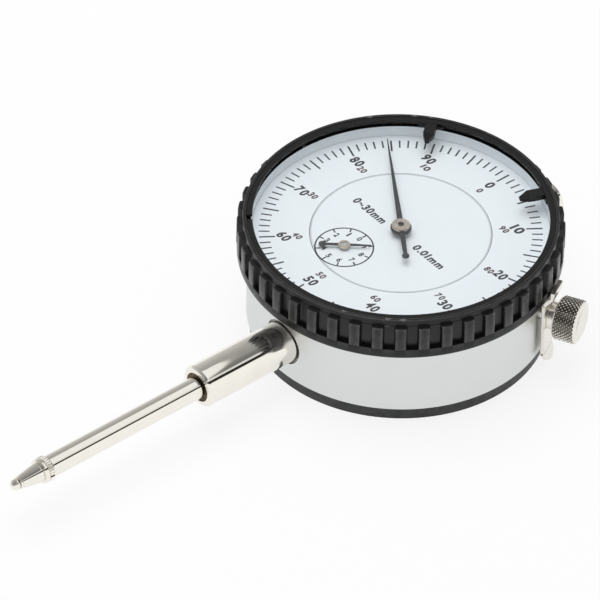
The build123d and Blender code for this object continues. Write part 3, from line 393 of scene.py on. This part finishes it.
satin_aluminium, _ = surface(
    "satin_aluminium",
    (0.735, 0.75, 0.745),
    0.38,
    spread=0.10,
    tone=0.05,
    spots=260,
    metallic=1.0,
    lines=("Z", 26000),
    line_depth=0.0000012,
)
dress(satin_aluminium, "case_body")
cover_black, paint = surface(
    "cover_black",
    (0.010, 0.010, 0.011),
    0.38,
    spread=0.12,
    spots=1500,
    bump=0.000004,
    edge_wear_and_highlight_colour=(0.10, 0.10, 0.10),
)
paint.inputs["Specular IOR Level"].default_value = 0.3
dress(cover_black, "back_cover")
gasket_rubber, _ = surface("gasket_rubber", (0.03, 0.03, 0.03), 0.8, spots=3000, bump=0.00001)
dress(gasket_rubber, "cover_gasket")
screw_zinc, _ = surface("screw_zinc", (0.52, 0.53, 0.55), 0.32, metallic=1.0, spots=1800, bump=0.000002)
dress(
    screw_zinc,
    "cover_screws",
    "plate_screws",
    "bridge_screws",
    "cock_screws",
    "rail_screws",
    "guide_rail",
    "spring_post",
)

# Stem and spindle
# The stem is a ground and plated steel tube that stands clamp on; the long spindle slides in it, with its
# rack behind the case wall. Both are polished, so they mirror the room in bands along their length.
polished_steel, _ = surface(
    "polished_steel",
    (0.89, 0.86, 0.795),
    0.085,
    spread=0.05,
    tone=0.10,
    spots=420,
    metallic=1.0,
    lines=("Y", 15000),
    line_depth=0.0000003,
)
dress(polished_steel, "stem", "spindle", "contact_ball", "upper_bush", "guide_pin")
bush_bronze, _ = surface(
    "bush_bronze",
    (0.16, 0.13, 0.10),
    0.40,
    metallic=1.0,
    spots=1500,
    lines=("Y", 20000),
    line_depth=0.000001,
)
dress(bush_bronze, "stem_bush")


def turned_skin(profile, segments):
    """Rings of points round the X axis from stations (along, radius, knurl) in millimetres.

    A knurl is None or (depth, ridges, pitch, crossed). Crossed ridges leave small pyramids.
    """
    rings = []
    for along, radius, knurl in profile:
        ring = []
        for n in range(segments):
            angle = 2 * pi * n / segments
            reach = radius
            if knurl:
                depth, ridges, pitch, crossed = knurl
                turn = ridges * n / segments
                climb = along / pitch if crossed else 0.0
                crest = min(1 - abs(2 * ((turn + climb) % 1) - 1), 1 - abs(2 * ((turn - climb) % 1) - 1))
                reach = radius - depth * (1 - min(1.0, 1.35 * crest))
            ring.append((along * mm, reach * cos(angle) * mm, reach * sin(angle) * mm))
        rings.append(ring)
    return rings


def skin_mesh(name, rings, closed=True):
    """Mesh of quads between rings, with a face over each end where it is closed."""
    count = len(rings[0])
    points = [point for ring in rings for point in ring]
    faces = []
    for r in range(len(rings) - 1):
        for n in range(count):
            after = (n + 1) % count
            faces.append((r * count + n, r * count + after, (r + 1) * count + after, (r + 1) * count + n))
    if closed:
        faces.append(tuple(range(count))[::-1])
        faces.append(tuple((len(rings) - 1) * count + n for n in range(count)))
    mesh = bpy.data.meshes.new(name)
    mesh.from_pydata(points, [], faces)
    return mesh


def lay_along(mesh, origin, outward, side):
    """Moves a mesh made along X to a place and direction in the instrument."""
    third = outward.cross(side)
    mesh.transform(
        Matrix(
            (
                (outward.x, side.x, third.x, origin.x),
                (outward.y, side.y, third.y, origin.y),
                (outward.z, side.z, third.z, origin.z),
                (0, 0, 0, 1),
            )
        )
    )


weld_distance = 0.0002 * mm


def outward_faces(mesh):
    """Joins a mesh where its rings meet and turns all faces to the outside."""
    shape = bmesh.new()
    shape.from_mesh(mesh)
    bmesh.ops.remove_doubles(shape, verts=shape.verts, dist=weld_distance)
    bmesh.ops.recalc_face_normals(shape, faces=shape.faces)
    shape.to_mesh(mesh)
    shape.free()


def new_piece(name, mesh, material, body, smooth_below=None):
    """Links a mesh as a piece that rides on a body."""
    if smooth_below is not None:
        mesh.shade_smooth()
        mesh.set_sharp_from_angle(angle=radians(smooth_below))
    piece = bpy.data.objects.new(name, mesh)
    scene.collection.objects.link(piece)
    mesh.materials.append(material)
    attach(piece, body)
    return piece


def stations(start, end, step, radius, knurl=None):
    """Evenly spaced stations of one radius."""
    count = max(1, ceil(abs(end - start) / step))
    return [(start + (end - start) * n / count, radius, knurl) for n in range(count + 1)]


stem_stations = [
    (47.10, 2.85, None),
    (47.10, 3.50, None),
    (47.05, 3.62, None),
    (46.70, 3.95, None),
    (46.58, 4.00, None),
    *stations(46.4, 27.6, 1.0, 4.0),
    (25.90, 4.00, None),
    (25.90, 4.40, None),
    (24.45, 4.40, None),
    (24.45, 5.10, None),
    (23.25, 5.10, None),
    (23.25, 2.85, None),
]
spindle_height = 9.6
stem_rings = turned_skin(stem_stations, 96)
stem_mesh = skin_mesh("stem_tube", stem_rings + stem_rings[:1], closed=False)
lay_along(stem_mesh, Vector((0, 0, spindle_height)) * mm, Vector((0, -1, 0)), Vector((1, 0, 0)))
outward_faces(stem_mesh)
stem_tube = new_piece("stem_tube", stem_mesh, polished_steel, "case", 30)
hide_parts("stem")

# Contact point
# A hardened steel cone screwed into the end of the spindle, with a knurled collar to grip it by and a
# small ball set in its tip.
collar_face = 81.2
collar_knurl = (0.22, 26, 1.0, False)
point_stations = [
    (-4.0, 1.18, None),
    (0.0, 1.2, None),
    (0.0, 2.12, None),
    (0.22, 2.3, None),
    *stations(0.25, 1.15, 0.15, 2.4, collar_knurl),
    (1.2, 2.08, None),
    (1.4, 2.08, None),
    *stations(1.45, 1.85, 0.2, 2.38, None),
    (2.1, 2.2, None),
    (2.1, 1.75, None),
    (2.25, 1.88, None),
    (2.45, 1.90, None),
    (6.3, 1.24, None),
    (6.36, 1.10, None),
    (6.46, 1.10, None),
    (6.5, 1.22, None),
    (6.74, 1.20, None),
    (6.8, 1.10, None),
    (6.78, 0.98, None),
    (6.60, 0.95, None),
    (6.35, 0.90, None),
]
point_mesh = skin_mesh("contact_cone", turned_skin(point_stations, 156))
point_root = Vector((0, -collar_face, spindle_height)) * mm
lay_along(point_mesh, point_root, Vector((0, -1, 0)), Vector((1, 0, 0)))
outward_faces(point_mesh)
contact_cone = new_piece("contact_cone", point_mesh, polished_steel, "plunger", 30)
dress(polished_steel, "contact_point")
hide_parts("contact_point")

# Lifting knob
# The bright button on the upper end of the spindle, straight-knurled between two grooves, by which the
# plunger is drawn up.
knob_start = 28.2
knob_knurl = (0.2, 40, 1.0, False)
knob_stations = [
    (0.0, 1.55, None),
    (0.0, 3.0, None),
    (0.1, 3.12, None),
    (0.75, 3.12, None),
    (0.8, 3.3, None),
    (0.95, 3.45, None),
    *stations(1.0, 5.75, 0.5, 3.5, knob_knurl),
    (5.85, 3.3, None),
    (5.95, 3.12, None),
    (6.75, 3.12, None),
    (6.85, 3.4, None),
    (7.0, 3.5, None),
    (7.6, 3.5, None),
    (7.85, 3.38, None),
    (8.05, 3.1, None),
    (8.1, 2.8, None),
    (8.0, 2.0, None),
    (7.95, 0.4, None),
]
knob_mesh = skin_mesh("knob_button", turned_skin(knob_stations, 240))
knob_root = Vector((0, knob_start, spindle_height)) * mm
lay_along(knob_mesh, knob_root, Vector((0, 1, 0)), Vector((0, 0, 1)))
outward_faces(knob_mesh)
knob_button = new_piece("knob_button", knob_mesh, polished_steel, "plunger", 30)
dress(polished_steel, "lifting_knob")
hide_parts("lifting_knob")

# Movement
# Brass plates, pillars and gears, steel arbors and two springs, all closed in by the dial and the cover.
brass, _ = surface("brass", (0.74, 0.57, 0.29), 0.30, spread=0.10, metallic=1.0, spots=700, bump=0.000002)
dress(
    brass,
    "front_plate",
    "middle_bridge",
    "bridge_pillars",
    "lower_cock",
    "cock_pillars",
    "counter_gear",
    "takeup_gear",
    "hairspring_collet",
    "hairspring_stud",
)
arbor_steel, _ = surface(
    "arbor_steel",
    (0.70, 0.70, 0.71),
    0.22,
    metallic=1.0,
    spots=1200,
    lines=("Z", 24000),
    line_depth=0.000001,
)
dress(arbor_steel, "counter_arbor", "takeup_arbor")
spring_blue, _ = surface("spring_blue", (0.30, 0.33, 0.40), 0.30, metallic=1.0, spots=1500, bump=0.000002)
dress(spring_blue, "return_spring", "hairspring", "bezel_wire")

# Dial
# Two white lacquered discs in one plane: a ring with the 100 divisions that turns with the bezel, and a
# fixed middle with the small dial that counts the turns. The print is a thin layer of ink on them.
dial_white, _ = surface(
    "dial_white",
    (0.85, 0.905, 0.940),
    0.45,
    spread=0.05,
    tone=0.05,
    spots=30,
    bump=0.0000015,
)
dress(dial_white, "scale_ring", "inner_dial")
print_black, _ = surface("print_black", (0.018, 0.019, 0.024), 0.5, spots=2500)
print_red, _ = surface("print_red", (0.080, 0.050, 0.054), 0.5, spots=2500)
print_grey, _ = surface("print_grey", (0.56, 0.59, 0.60), 0.5, spots=2500)
dial_face = 20.302
ink_thickness = 0.02


def stroke(ink, start, end, width):
    """Flat bar of ink from one point of the dial to another."""
    (x0, y0), (x1, y1) = start, end
    length = sqrt((x1 - x0) ** 2 + (y1 - y0) ** 2)
    across_x = -(y1 - y0) / length * width / 2
    across_y = (x1 - x0) / length * width / 2
    corners = [
        (x0 - across_x, y0 - across_y),
        (x1 - across_x, y1 - across_y),
        (x1 + across_x, y1 + across_y),
        (x0 + across_x, y0 + across_y),
    ]
    lower = [ink.verts.new((x * mm, y * mm, dial_face * mm)) for x, y in corners]
    upper = [ink.verts.new((x * mm, y * mm, (dial_face + ink_thickness) * mm)) for x, y in corners]
    ink.faces.new(upper)
    ink.faces.new(lower[::-1])
    for n in range(4):
        after = (n + 1) % 4
        ink.faces.new((lower[n], lower[after], upper[after], upper[n]))


def circle_line(ink, x, y, radius, width, count):
    """Circle of ink with a rectangular section."""
    rows = []
    for reach, height in [
        (radius - width / 2, 0),
        (radius - width / 2, ink_thickness),
        (radius + width / 2, ink_thickness),
        (radius + width / 2, 0),
    ]:
        rows.append(
            [
                ink.verts.new(
                    (
                        (x + reach * cos(2 * pi * n / count)) * mm,
                        (y + reach * sin(2 * pi * n / count)) * mm,
                        (dial_face + height) * mm,
                    )
                )
                for n in range(count)
            ]
        )
    for r in range(4):
        for n in range(count):
            after = (n + 1) % count
            ink.faces.new((rows[r][n], rows[r][after], rows[(r + 1) % 4][after], rows[(r + 1) % 4][n]))


def letter_shape(letter, slant, bold):
    """Mesh of one letter, half a unit up and down."""
    type_curve = bpy.data.curves.new("type", "FONT")
    type_curve.body = letter
    type_curve.shear = slant
    type_curve.resolution_u = 3
    type_curve.extrude = 0.5
    type_curve.offset = bold
    setting = bpy.data.objects.new("type", type_curve)
    shape = bpy.data.meshes.new_from_object(setting)
    bpy.data.objects.remove(setting)
    bpy.data.curves.remove(type_curve)
    return shape


def swung_dash(bold):
    """Mesh of the wavy dash between two numbers."""
    steps = 12
    shape = bmesh.new()
    rows = []
    for n in range(steps + 1):
        middle = 0.30 + 0.075 * sin(2 * pi * n / steps)
        low = middle - 0.035 - bold
        high = middle + 0.035 + bold
        across = 0.52 * n / steps
        corners = [(low, -0.5), (high, -0.5), (high, 0.5), (low, 0.5)]
        rows.append([shape.verts.new((across, y, z)) for y, z in corners])
    for n in range(steps):
        for k in range(4):
            after = (k + 1) % 4
            shape.faces.new((rows[n][k], rows[n][after], rows[n + 1][after], rows[n + 1][k]))
    shape.faces.new(rows[0])
    shape.faces.new(rows[-1][::-1])
    mesh = bpy.data.meshes.new("dash")
    shape.to_mesh(mesh)
    shape.free()
    return mesh


def lettering(ink, words, x, y, width, height, slant=0.12, bold=0.040):
    """Sets words in ink, centred on a point of the dial and fitted to a width and a height."""
    gap = 0.09
    letters = [swung_dash(bold) if letter == "~" else letter_shape(letter, slant, bold) for letter in words]
    ends = [(min(v.co.x for v in shape.vertices), max(v.co.x for v in shape.vertices)) for shape in letters]
    heights = [v.co.y for shape in letters for v in shape.vertices]
    span = sum(right - left for left, right in ends) + gap * (len(letters) - 1)
    tall = max(heights) - min(heights)
    size = Matrix.Diagonal((width * mm / span, height * mm / tall, ink_thickness * mm, 1))
    pen = -span / 2
    for shape, (left, right) in zip(letters, ends):
        own_place = Matrix.Translation((pen - left, -(min(heights) + max(heights)) / 2, 0.5))
        shape.transform(Matrix.Translation((x * mm, y * mm, dial_face * mm)) @ size @ own_place)
        ink.from_mesh(shape)
        bpy.data.meshes.remove(shape)
        pen += right - left + gap


def printed(name, ink, material, body):
    """Makes a piece of the ink laid so far."""
    mesh = bpy.data.meshes.new(name)
    bmesh.ops.recalc_face_normals(ink, faces=ink.faces)
    ink.to_mesh(mesh)
    ink.free()
    return new_piece(name, mesh, material, body)


def on_circle(radius, angle):
    """Point of the dial at a radius and at an angle from three o'clock."""
    return (radius * cos(radians(angle)), radius * sin(radians(angle)))


tick_outer = 25.5
tick_long_inner = 22.6
tick_short_inner = 23.55
tick_long_width = 0.34
tick_short_width = 0.30
numeral_circle = 21.0
numeral_height = 2.05
numeral_width = 1.27
return_circle = 18.6
return_height = 1.4
return_width = 0.92
black_ink = bmesh.new()
red_ink = bmesh.new()
for division in range(100):
    angle = 90 - 3.6 * division
    main = division % 5 == 0
    stroke(
        black_ink,
        on_circle(tick_long_inner if main else tick_short_inner, angle),
        on_circle(tick_outer, angle),
        tick_long_width if main else tick_short_width,
    )
for tens in range(10):
    angle = 90 - 36 * tens
    reading = str(10 * tens)
    x, y = on_circle(numeral_circle, angle)
    lettering(black_ink, reading, x, y, numeral_width * len(reading), numeral_height)
    back_reading = str((100 - 10 * tens) % 100)
    x, y = on_circle(return_circle, angle)
    lettering(red_ink, back_reading, x, y, return_width * len(back_reading), return_height)
printed("scale_print", black_ink, print_black, "bezel_group")
printed("return_print", red_ink, print_red, "bezel_group")

small_x = -3.29
small_y = -10.5
small_circle = 5.26
small_tick = 0.95
small_line = 0.27
small_numeral_circle = 3.6
black_ink = bmesh.new()
circle_line(black_ink, small_x, small_y, small_circle, small_line, 72)
for unit in range(10):
    angle = 90 + 36 * unit
    inner = on_circle(small_circle - small_tick, angle)
    outer = on_circle(small_circle, angle)
    tick_start = (small_x + inner[0], small_y + inner[1])
    tick_end = (small_x + outer[0], small_y + outer[1])
    stroke(black_ink, tick_start, tick_end, small_line)
    x, y = on_circle(small_numeral_circle, angle)
    lettering(black_ink, str(unit), small_x + x, small_y + y, 0.72 if unit != 1 else 0.36, 1.2, 0, 0.03)
lettering(black_ink, "0~30mm", -8.1, -0.4, 8.2, 1.75)
lettering(black_ink, "0.01mm", 8.2, -0.35, 7.65, 1.7)
printed("dial_print", black_ink, print_black, "case")
grey_ink = bmesh.new()
circle_line(grey_ink, 0, 0, 16.14, 0.16, 144)
printed("dial_edge_line", grey_ink, print_grey, "case")

# Pointers
# Both pointers are pressed from thin steel and blued nearly black, with a round at the end of the tail.
# Each is driven on to its arbor by a small nickel-plated hub.
pointer_black, _ = surface("pointer_black", (0.014, 0.016, 0.020), 0.34, spots=1500)
dress(pointer_black, "main_pointer", "centre_arbor")
hub_nickel, _ = surface(
    "hub_nickel",
    (0.50, 0.45, 0.39),
    0.34,
    spread=0.2,
    tone=1.1,
    spots=2600,
    metallic=1.0,
    bump=0.00004,
)
dress(hub_nickel, "pointer_hub")
small_hub_reach = 1.07
counter_paint, steel = surface("counter_paint", (0.014, 0.016, 0.020), 0.34, spots=1500)
tree = counter_paint.node_tree
black_link = steel.inputs["Base Color"].links[0]
black_colour = black_link.from_socket
spot_place = tree.nodes.new("ShaderNodeTexCoord")
from_axis = tree.nodes.new("ShaderNodeVectorMath")
from_axis.operation = "SUBTRACT"
from_axis.inputs[1].default_value = (small_x * mm, small_y * mm, 0)
tree.links.new(spot_place.outputs["Object"], from_axis.inputs[0])
flat = tree.nodes.new("ShaderNodeVectorMath")
flat.operation = "MULTIPLY"
flat.inputs[1].default_value = (1, 1, 0)
tree.links.new(from_axis.outputs[0], flat.inputs[0])
reach = tree.nodes.new("ShaderNodeVectorMath")
reach.operation = "LENGTH"
tree.links.new(flat.outputs[0], reach.inputs[0])
on_hub = tree.nodes.new("ShaderNodeMath")
on_hub.operation = "LESS_THAN"
on_hub.inputs[1].default_value = small_hub_reach * mm
tree.links.new(reach.outputs["Value"], on_hub.inputs[0])
hub_spots = tree.nodes.new("ShaderNodeGroup")
hub_spots.node_tree = mottle
hub_spots.inputs["Colour"].default_value = (0.50, 0.45, 0.39, 1)
hub_spots.inputs["Spots"].default_value = 2600
hub_spots.inputs["Tone"].default_value = 1.1
either = tree.nodes.new("ShaderNodeMix")
either.data_type = "RGBA"
tree.links.new(on_hub.outputs[0], either.inputs["Factor"])
tree.links.new(black_colour, either.inputs["A"])
tree.links.new(hub_spots.outputs["Colour"], either.inputs["B"])
tree.links.new(either.outputs["Result"], steel.inputs["Base Color"])
tree.links.new(on_hub.outputs[0], steel.inputs["Metallic"])
dress(counter_paint, "counter_pointer")

# Bezel
# A ring moulded in black plastic that snaps over the neck of the case. Its skirt has 44 grip grooves, open
# at the top, above a plain flange. Inside its rim sit the crystal and the split ring that holds it. The
# wall under the crystal takes the dial's white material.
# The light grey on the bezel's sharp edges is a painted highlight.
bezel_black, plastic = surface(
    "bezel_black",
    (0.008, 0.008, 0.009),
    0.30,
    spread=0.14,
    tone=0.5,
    spots=1300,
    bump=0.000007,
    edge_wear_and_highlight_colour=(0.26, 0.26, 0.265),
    edge_wear_and_highlight_amount=1.0,
)
plastic.inputs["Specular IOR Level"].default_value = 0.34
groove_count = 44
groove_phase = 4.9
groove_depth = 0.9
groove_shape = [
    (0.0, 1.0),
    (0.10, 1.0),
    (0.185, 1.0),
    (0.215, 0.94),
    (0.232, 0.80),
    (0.262, 0.20),
    (0.278, 0.06),
    (0.305, 0.0),
    (0.40, 0.0),
]
groove_columns = groove_shape + [(0.5, 0.0)] + [(1 - p, d) for p, d in reversed(groove_shape[1:])]
bezel_rows = [
    (26.30, 16.30, 0),
    (29.00, 16.30, 0),
    (29.22, 16.37, 0),
    (29.37, 16.55, 0),
    (29.40, 16.75, 0),
    (29.40, 18.15, 0),
    (29.36, 18.28, 0),
    (29.46, 18.34, 1),
    (29.50, 18.48, 1),
    (29.50, 22.80, 1),
    (29.46, 22.98, 1),
    (29.36, 23.07, 1),
    (29.22, 23.10, 0.9),
    (28.56, 23.10, 0),
    (28.47, 23.13, 0),
    (28.45, 23.22, 0),
    (28.45, 24.24, 0),
    (28.41, 24.39, 0),
    (28.28, 24.48, 0),
    (28.14, 24.50, 0),
    (27.94, 24.50, 0),
    (27.84, 24.46, 0),
    (27.80, 24.36, 0),
    (27.80, 22.60, 0),
    (26.98, 22.60, 0),
    (26.90, 22.52, 0),
    (26.90, 19.80, 0),
    (26.30, 19.80, 0),
    (26.30, 18.49, 0),
    (26.70, 18.49, 0),
    (26.70, 17.71, 0),
    (26.30, 17.71, 0),
]
rings = []
for radius, height, share in bezel_rows:
    ring = []
    for groove in range(groove_count):
        for place_in_groove, deep in groove_columns:
            angle = radians(groove_phase + 360 / groove_count * (groove + place_in_groove))
            reach = max(radius - groove_depth * deep * share, 28.58 if share else 0)
            ring.append((reach * cos(angle) * mm, reach * sin(angle) * mm, height * mm))
    rings.append(ring)
rings.append(rings[0])
bezel_mesh = skin_mesh("bezel_ring", rings, closed=False)
outward_faces(bezel_mesh)
bezel_ring = new_piece("bezel_ring", bezel_mesh, bezel_black, "bezel_group", 32)
dress(bezel_black, "bezel")
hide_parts("bezel")
# The upright faces under the crystal get the dial's white as a second material.
bezel_mesh.materials.append(dial_white)
for face in bezel_mesh.polygons:
    reach = sqrt(face.center.x**2 + face.center.y**2)
    if abs(face.normal.z) < 0.1 and reach < 26.95 * mm and face.center.z > 19.8 * mm:
        face.material_index = 1
ring_black, plastic = surface(
    "ring_black",
    (0.009, 0.009, 0.009),
    0.34,
    spread=0.14,
    tone=0.5,
    spots=1300,
    bump=0.000007,
)
plastic.inputs["Specular IOR Level"].default_value = 0.34
dress(ring_black, "retaining_ring", "tolerance_marker_a", "tolerance_marker_b")

# Crystal
# A flat disc of clear acrylic. Lamp light and scattered light go straight through it, so that it doesn't
# darken the dial.
clear, glass = surface("clear_crystal", (1.0, 1.0, 1.0), 0.004, spread=0.008, tone=0.0, spots=60)
glass.inputs["Transmission Weight"].default_value = 1.0
glass.inputs["IOR"].default_value = 1.45
tree = clear.node_tree
light_path = tree.nodes.new("ShaderNodeLightPath")
through = tree.nodes.new("ShaderNodeMath")
through.operation = "MAXIMUM"
tree.links.new(light_path.outputs["Is Shadow Ray"], through.inputs[0])
tree.links.new(light_path.outputs["Is Diffuse Ray"], through.inputs[1])
open_air = tree.nodes.new("ShaderNodeBsdfTransparent")
pane = tree.nodes.new("ShaderNodeMixShader")
tree.links.new(through.outputs[0], pane.inputs[0])
tree.links.new(glass.outputs[0], pane.inputs[1])
tree.links.new(open_air.outputs[0], pane.inputs[2])
tree.links.new(pane.outputs[0], tree.nodes["Material Output"].inputs["Surface"])
dress(clear, "crystal")

# Bezel clamp
# A bent strip of nickel-plated spring steel that a knurled screw pulls against the skirt of the bezel, over
# a thin washer.
nickel, _ = surface(
    "nickel",
    (0.84, 0.81, 0.755),
    0.24,
    spread=0.12,
    tone=0.12,
    spots=600,
    metallic=1.0,
    bump=0.000002,
)
# The knurl is a darkened copy of the nickel, which is painted shade, and its sharp crests are painted
# glints.
knurl_nickel_shade_and_glint, _ = surface(
    "knurl_nickel_shade_and_glint",
    (0.30, 0.28, 0.25),
    0.24,
    spread=0.12,
    tone=0.3,
    spots=1500,
    metallic=1.0,
    edge_wear_and_highlight_colour=(0.95, 0.93, 0.89),
    edge_wear_and_highlight_amount=2.2,
)
dress(nickel, "clamp_washer")
clamp_direction = radians(28.0)
clamp_height = 11.2
clamp_out = Vector((cos(clamp_direction), sin(clamp_direction), 0))
clamp_side = Vector((-sin(clamp_direction), cos(clamp_direction), 0))
leaf_half_width = 2.1
leaf_half_thickness = 0.4
leaf_line = [
    (29.30, 1.00),
    (29.02, 1.8),
    (28.62, 2.9),
    (28.50, 4.1),
    (28.50, 13.4),
    (28.62, 14.6),
    (29.40, 15.7),
    (30.00, 16.5),
    (30.10, 17.2),
    (30.10, 18.0),
]
fine_line = []
for n in range(len(leaf_line) - 1):
    before = Vector(leaf_line[max(n - 1, 0)])
    here = Vector(leaf_line[n])
    there = Vector(leaf_line[n + 1])
    beyond = Vector(leaf_line[min(n + 2, len(leaf_line) - 1)])
    for step in range(8):
        t = step / 8
        bend = (2 * here + (there - before) * t + (2 * before - 5 * here + 4 * there - beyond) * t**2)
        fine_line.append((bend + (3 * here - before - 3 * there + beyond) * t**3) / 2)
fine_line.append(Vector(leaf_line[-1]))
foot_length = 0.0
rings = []
for n, spot in enumerate(fine_line):
    ahead = fine_line[min(n + 1, len(fine_line) - 1)] - fine_line[max(n - 1, 0)]
    across = Vector((ahead.y, -ahead.x)).normalized()
    if n:
        foot_length += (spot - fine_line[n - 1]).length
    round_off = max(leaf_half_width - foot_length, 0)
    half_width = max(sqrt(leaf_half_width**2 - round_off**2), 0.5)
    softness = 0.13
    section = [
        (-1, -half_width + softness),
        (-1, half_width - softness),
        (-1 + softness / leaf_half_thickness, half_width),
        (1 - softness / leaf_half_thickness, half_width),
        (1, half_width - softness),
        (1, -half_width + softness),
        (1 - softness / leaf_half_thickness, -half_width),
        (-1 + softness / leaf_half_thickness, -half_width),
    ]
    ring = []
    for outward, sideways in section:
        place = spot + across * outward * leaf_half_thickness
        point = place.x * clamp_out + sideways * clamp_side + Vector((0, 0, place.y))
        ring.append(tuple(point * mm))
    rings.append(ring)
strip_mesh = skin_mesh("clamp_strip", rings)
outward_faces(strip_mesh)
clamp_strip = new_piece("clamp_strip", strip_mesh, nickel, "leaf", 40)
dress(nickel, "clamp_leaf")
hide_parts("clamp_leaf")
head_knurl = (0.42, 32, 0.8, True)
washer_face = 29.25
head_start = 30.55
head_end = 35.15
screw_stations = [
    (22.6, 1.2, None),
    (washer_face, 1.2, None),
    (washer_face, 2.5, None),
    (washer_face + 0.1, 2.6, None),
    (head_start - 0.15, 2.6, None),
    (head_start, 2.7, None),
    (head_start, 3.4, None),
    (head_start + 0.13, 3.7, None),
    (head_start + 0.35, 3.85, None),
    *stations(head_start + 0.45, head_end - 0.45, 0.1, 4.1, head_knurl),
    (head_end - 0.35, 3.85, None),
    (head_end - 0.13, 3.6, None),
    (head_end, 3.2, None),
    (head_end, 2.9, None),
    (head_end - 0.13, 2.5, None),
    (head_end - 0.15, 0.3, None),
]
screw_mesh = skin_mesh("knurled_head", turned_skin(screw_stations, 256))
lay_along(screw_mesh, Vector((0, 0, clamp_height * mm)), clamp_out, clamp_side)
outward_faces(screw_mesh)
knurled_head = new_piece("knurled_head", screw_mesh, knurl_nickel_shade_and_glint, "knurled_screw", 28)
screw_mesh.materials.append(nickel)
# The knurled band takes the darkened nickel with painted glints, and the two ends of the head take the
# plain nickel.
for face in screw_mesh.polygons:
    along = face.center.dot(clamp_out)
    if along < (head_start + 0.3) * mm or along > (head_end - 0.3) * mm:
        face.material_index = 1
dress(knurl_nickel_shade_and_glint, "clamp_screw")
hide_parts("clamp_screw")
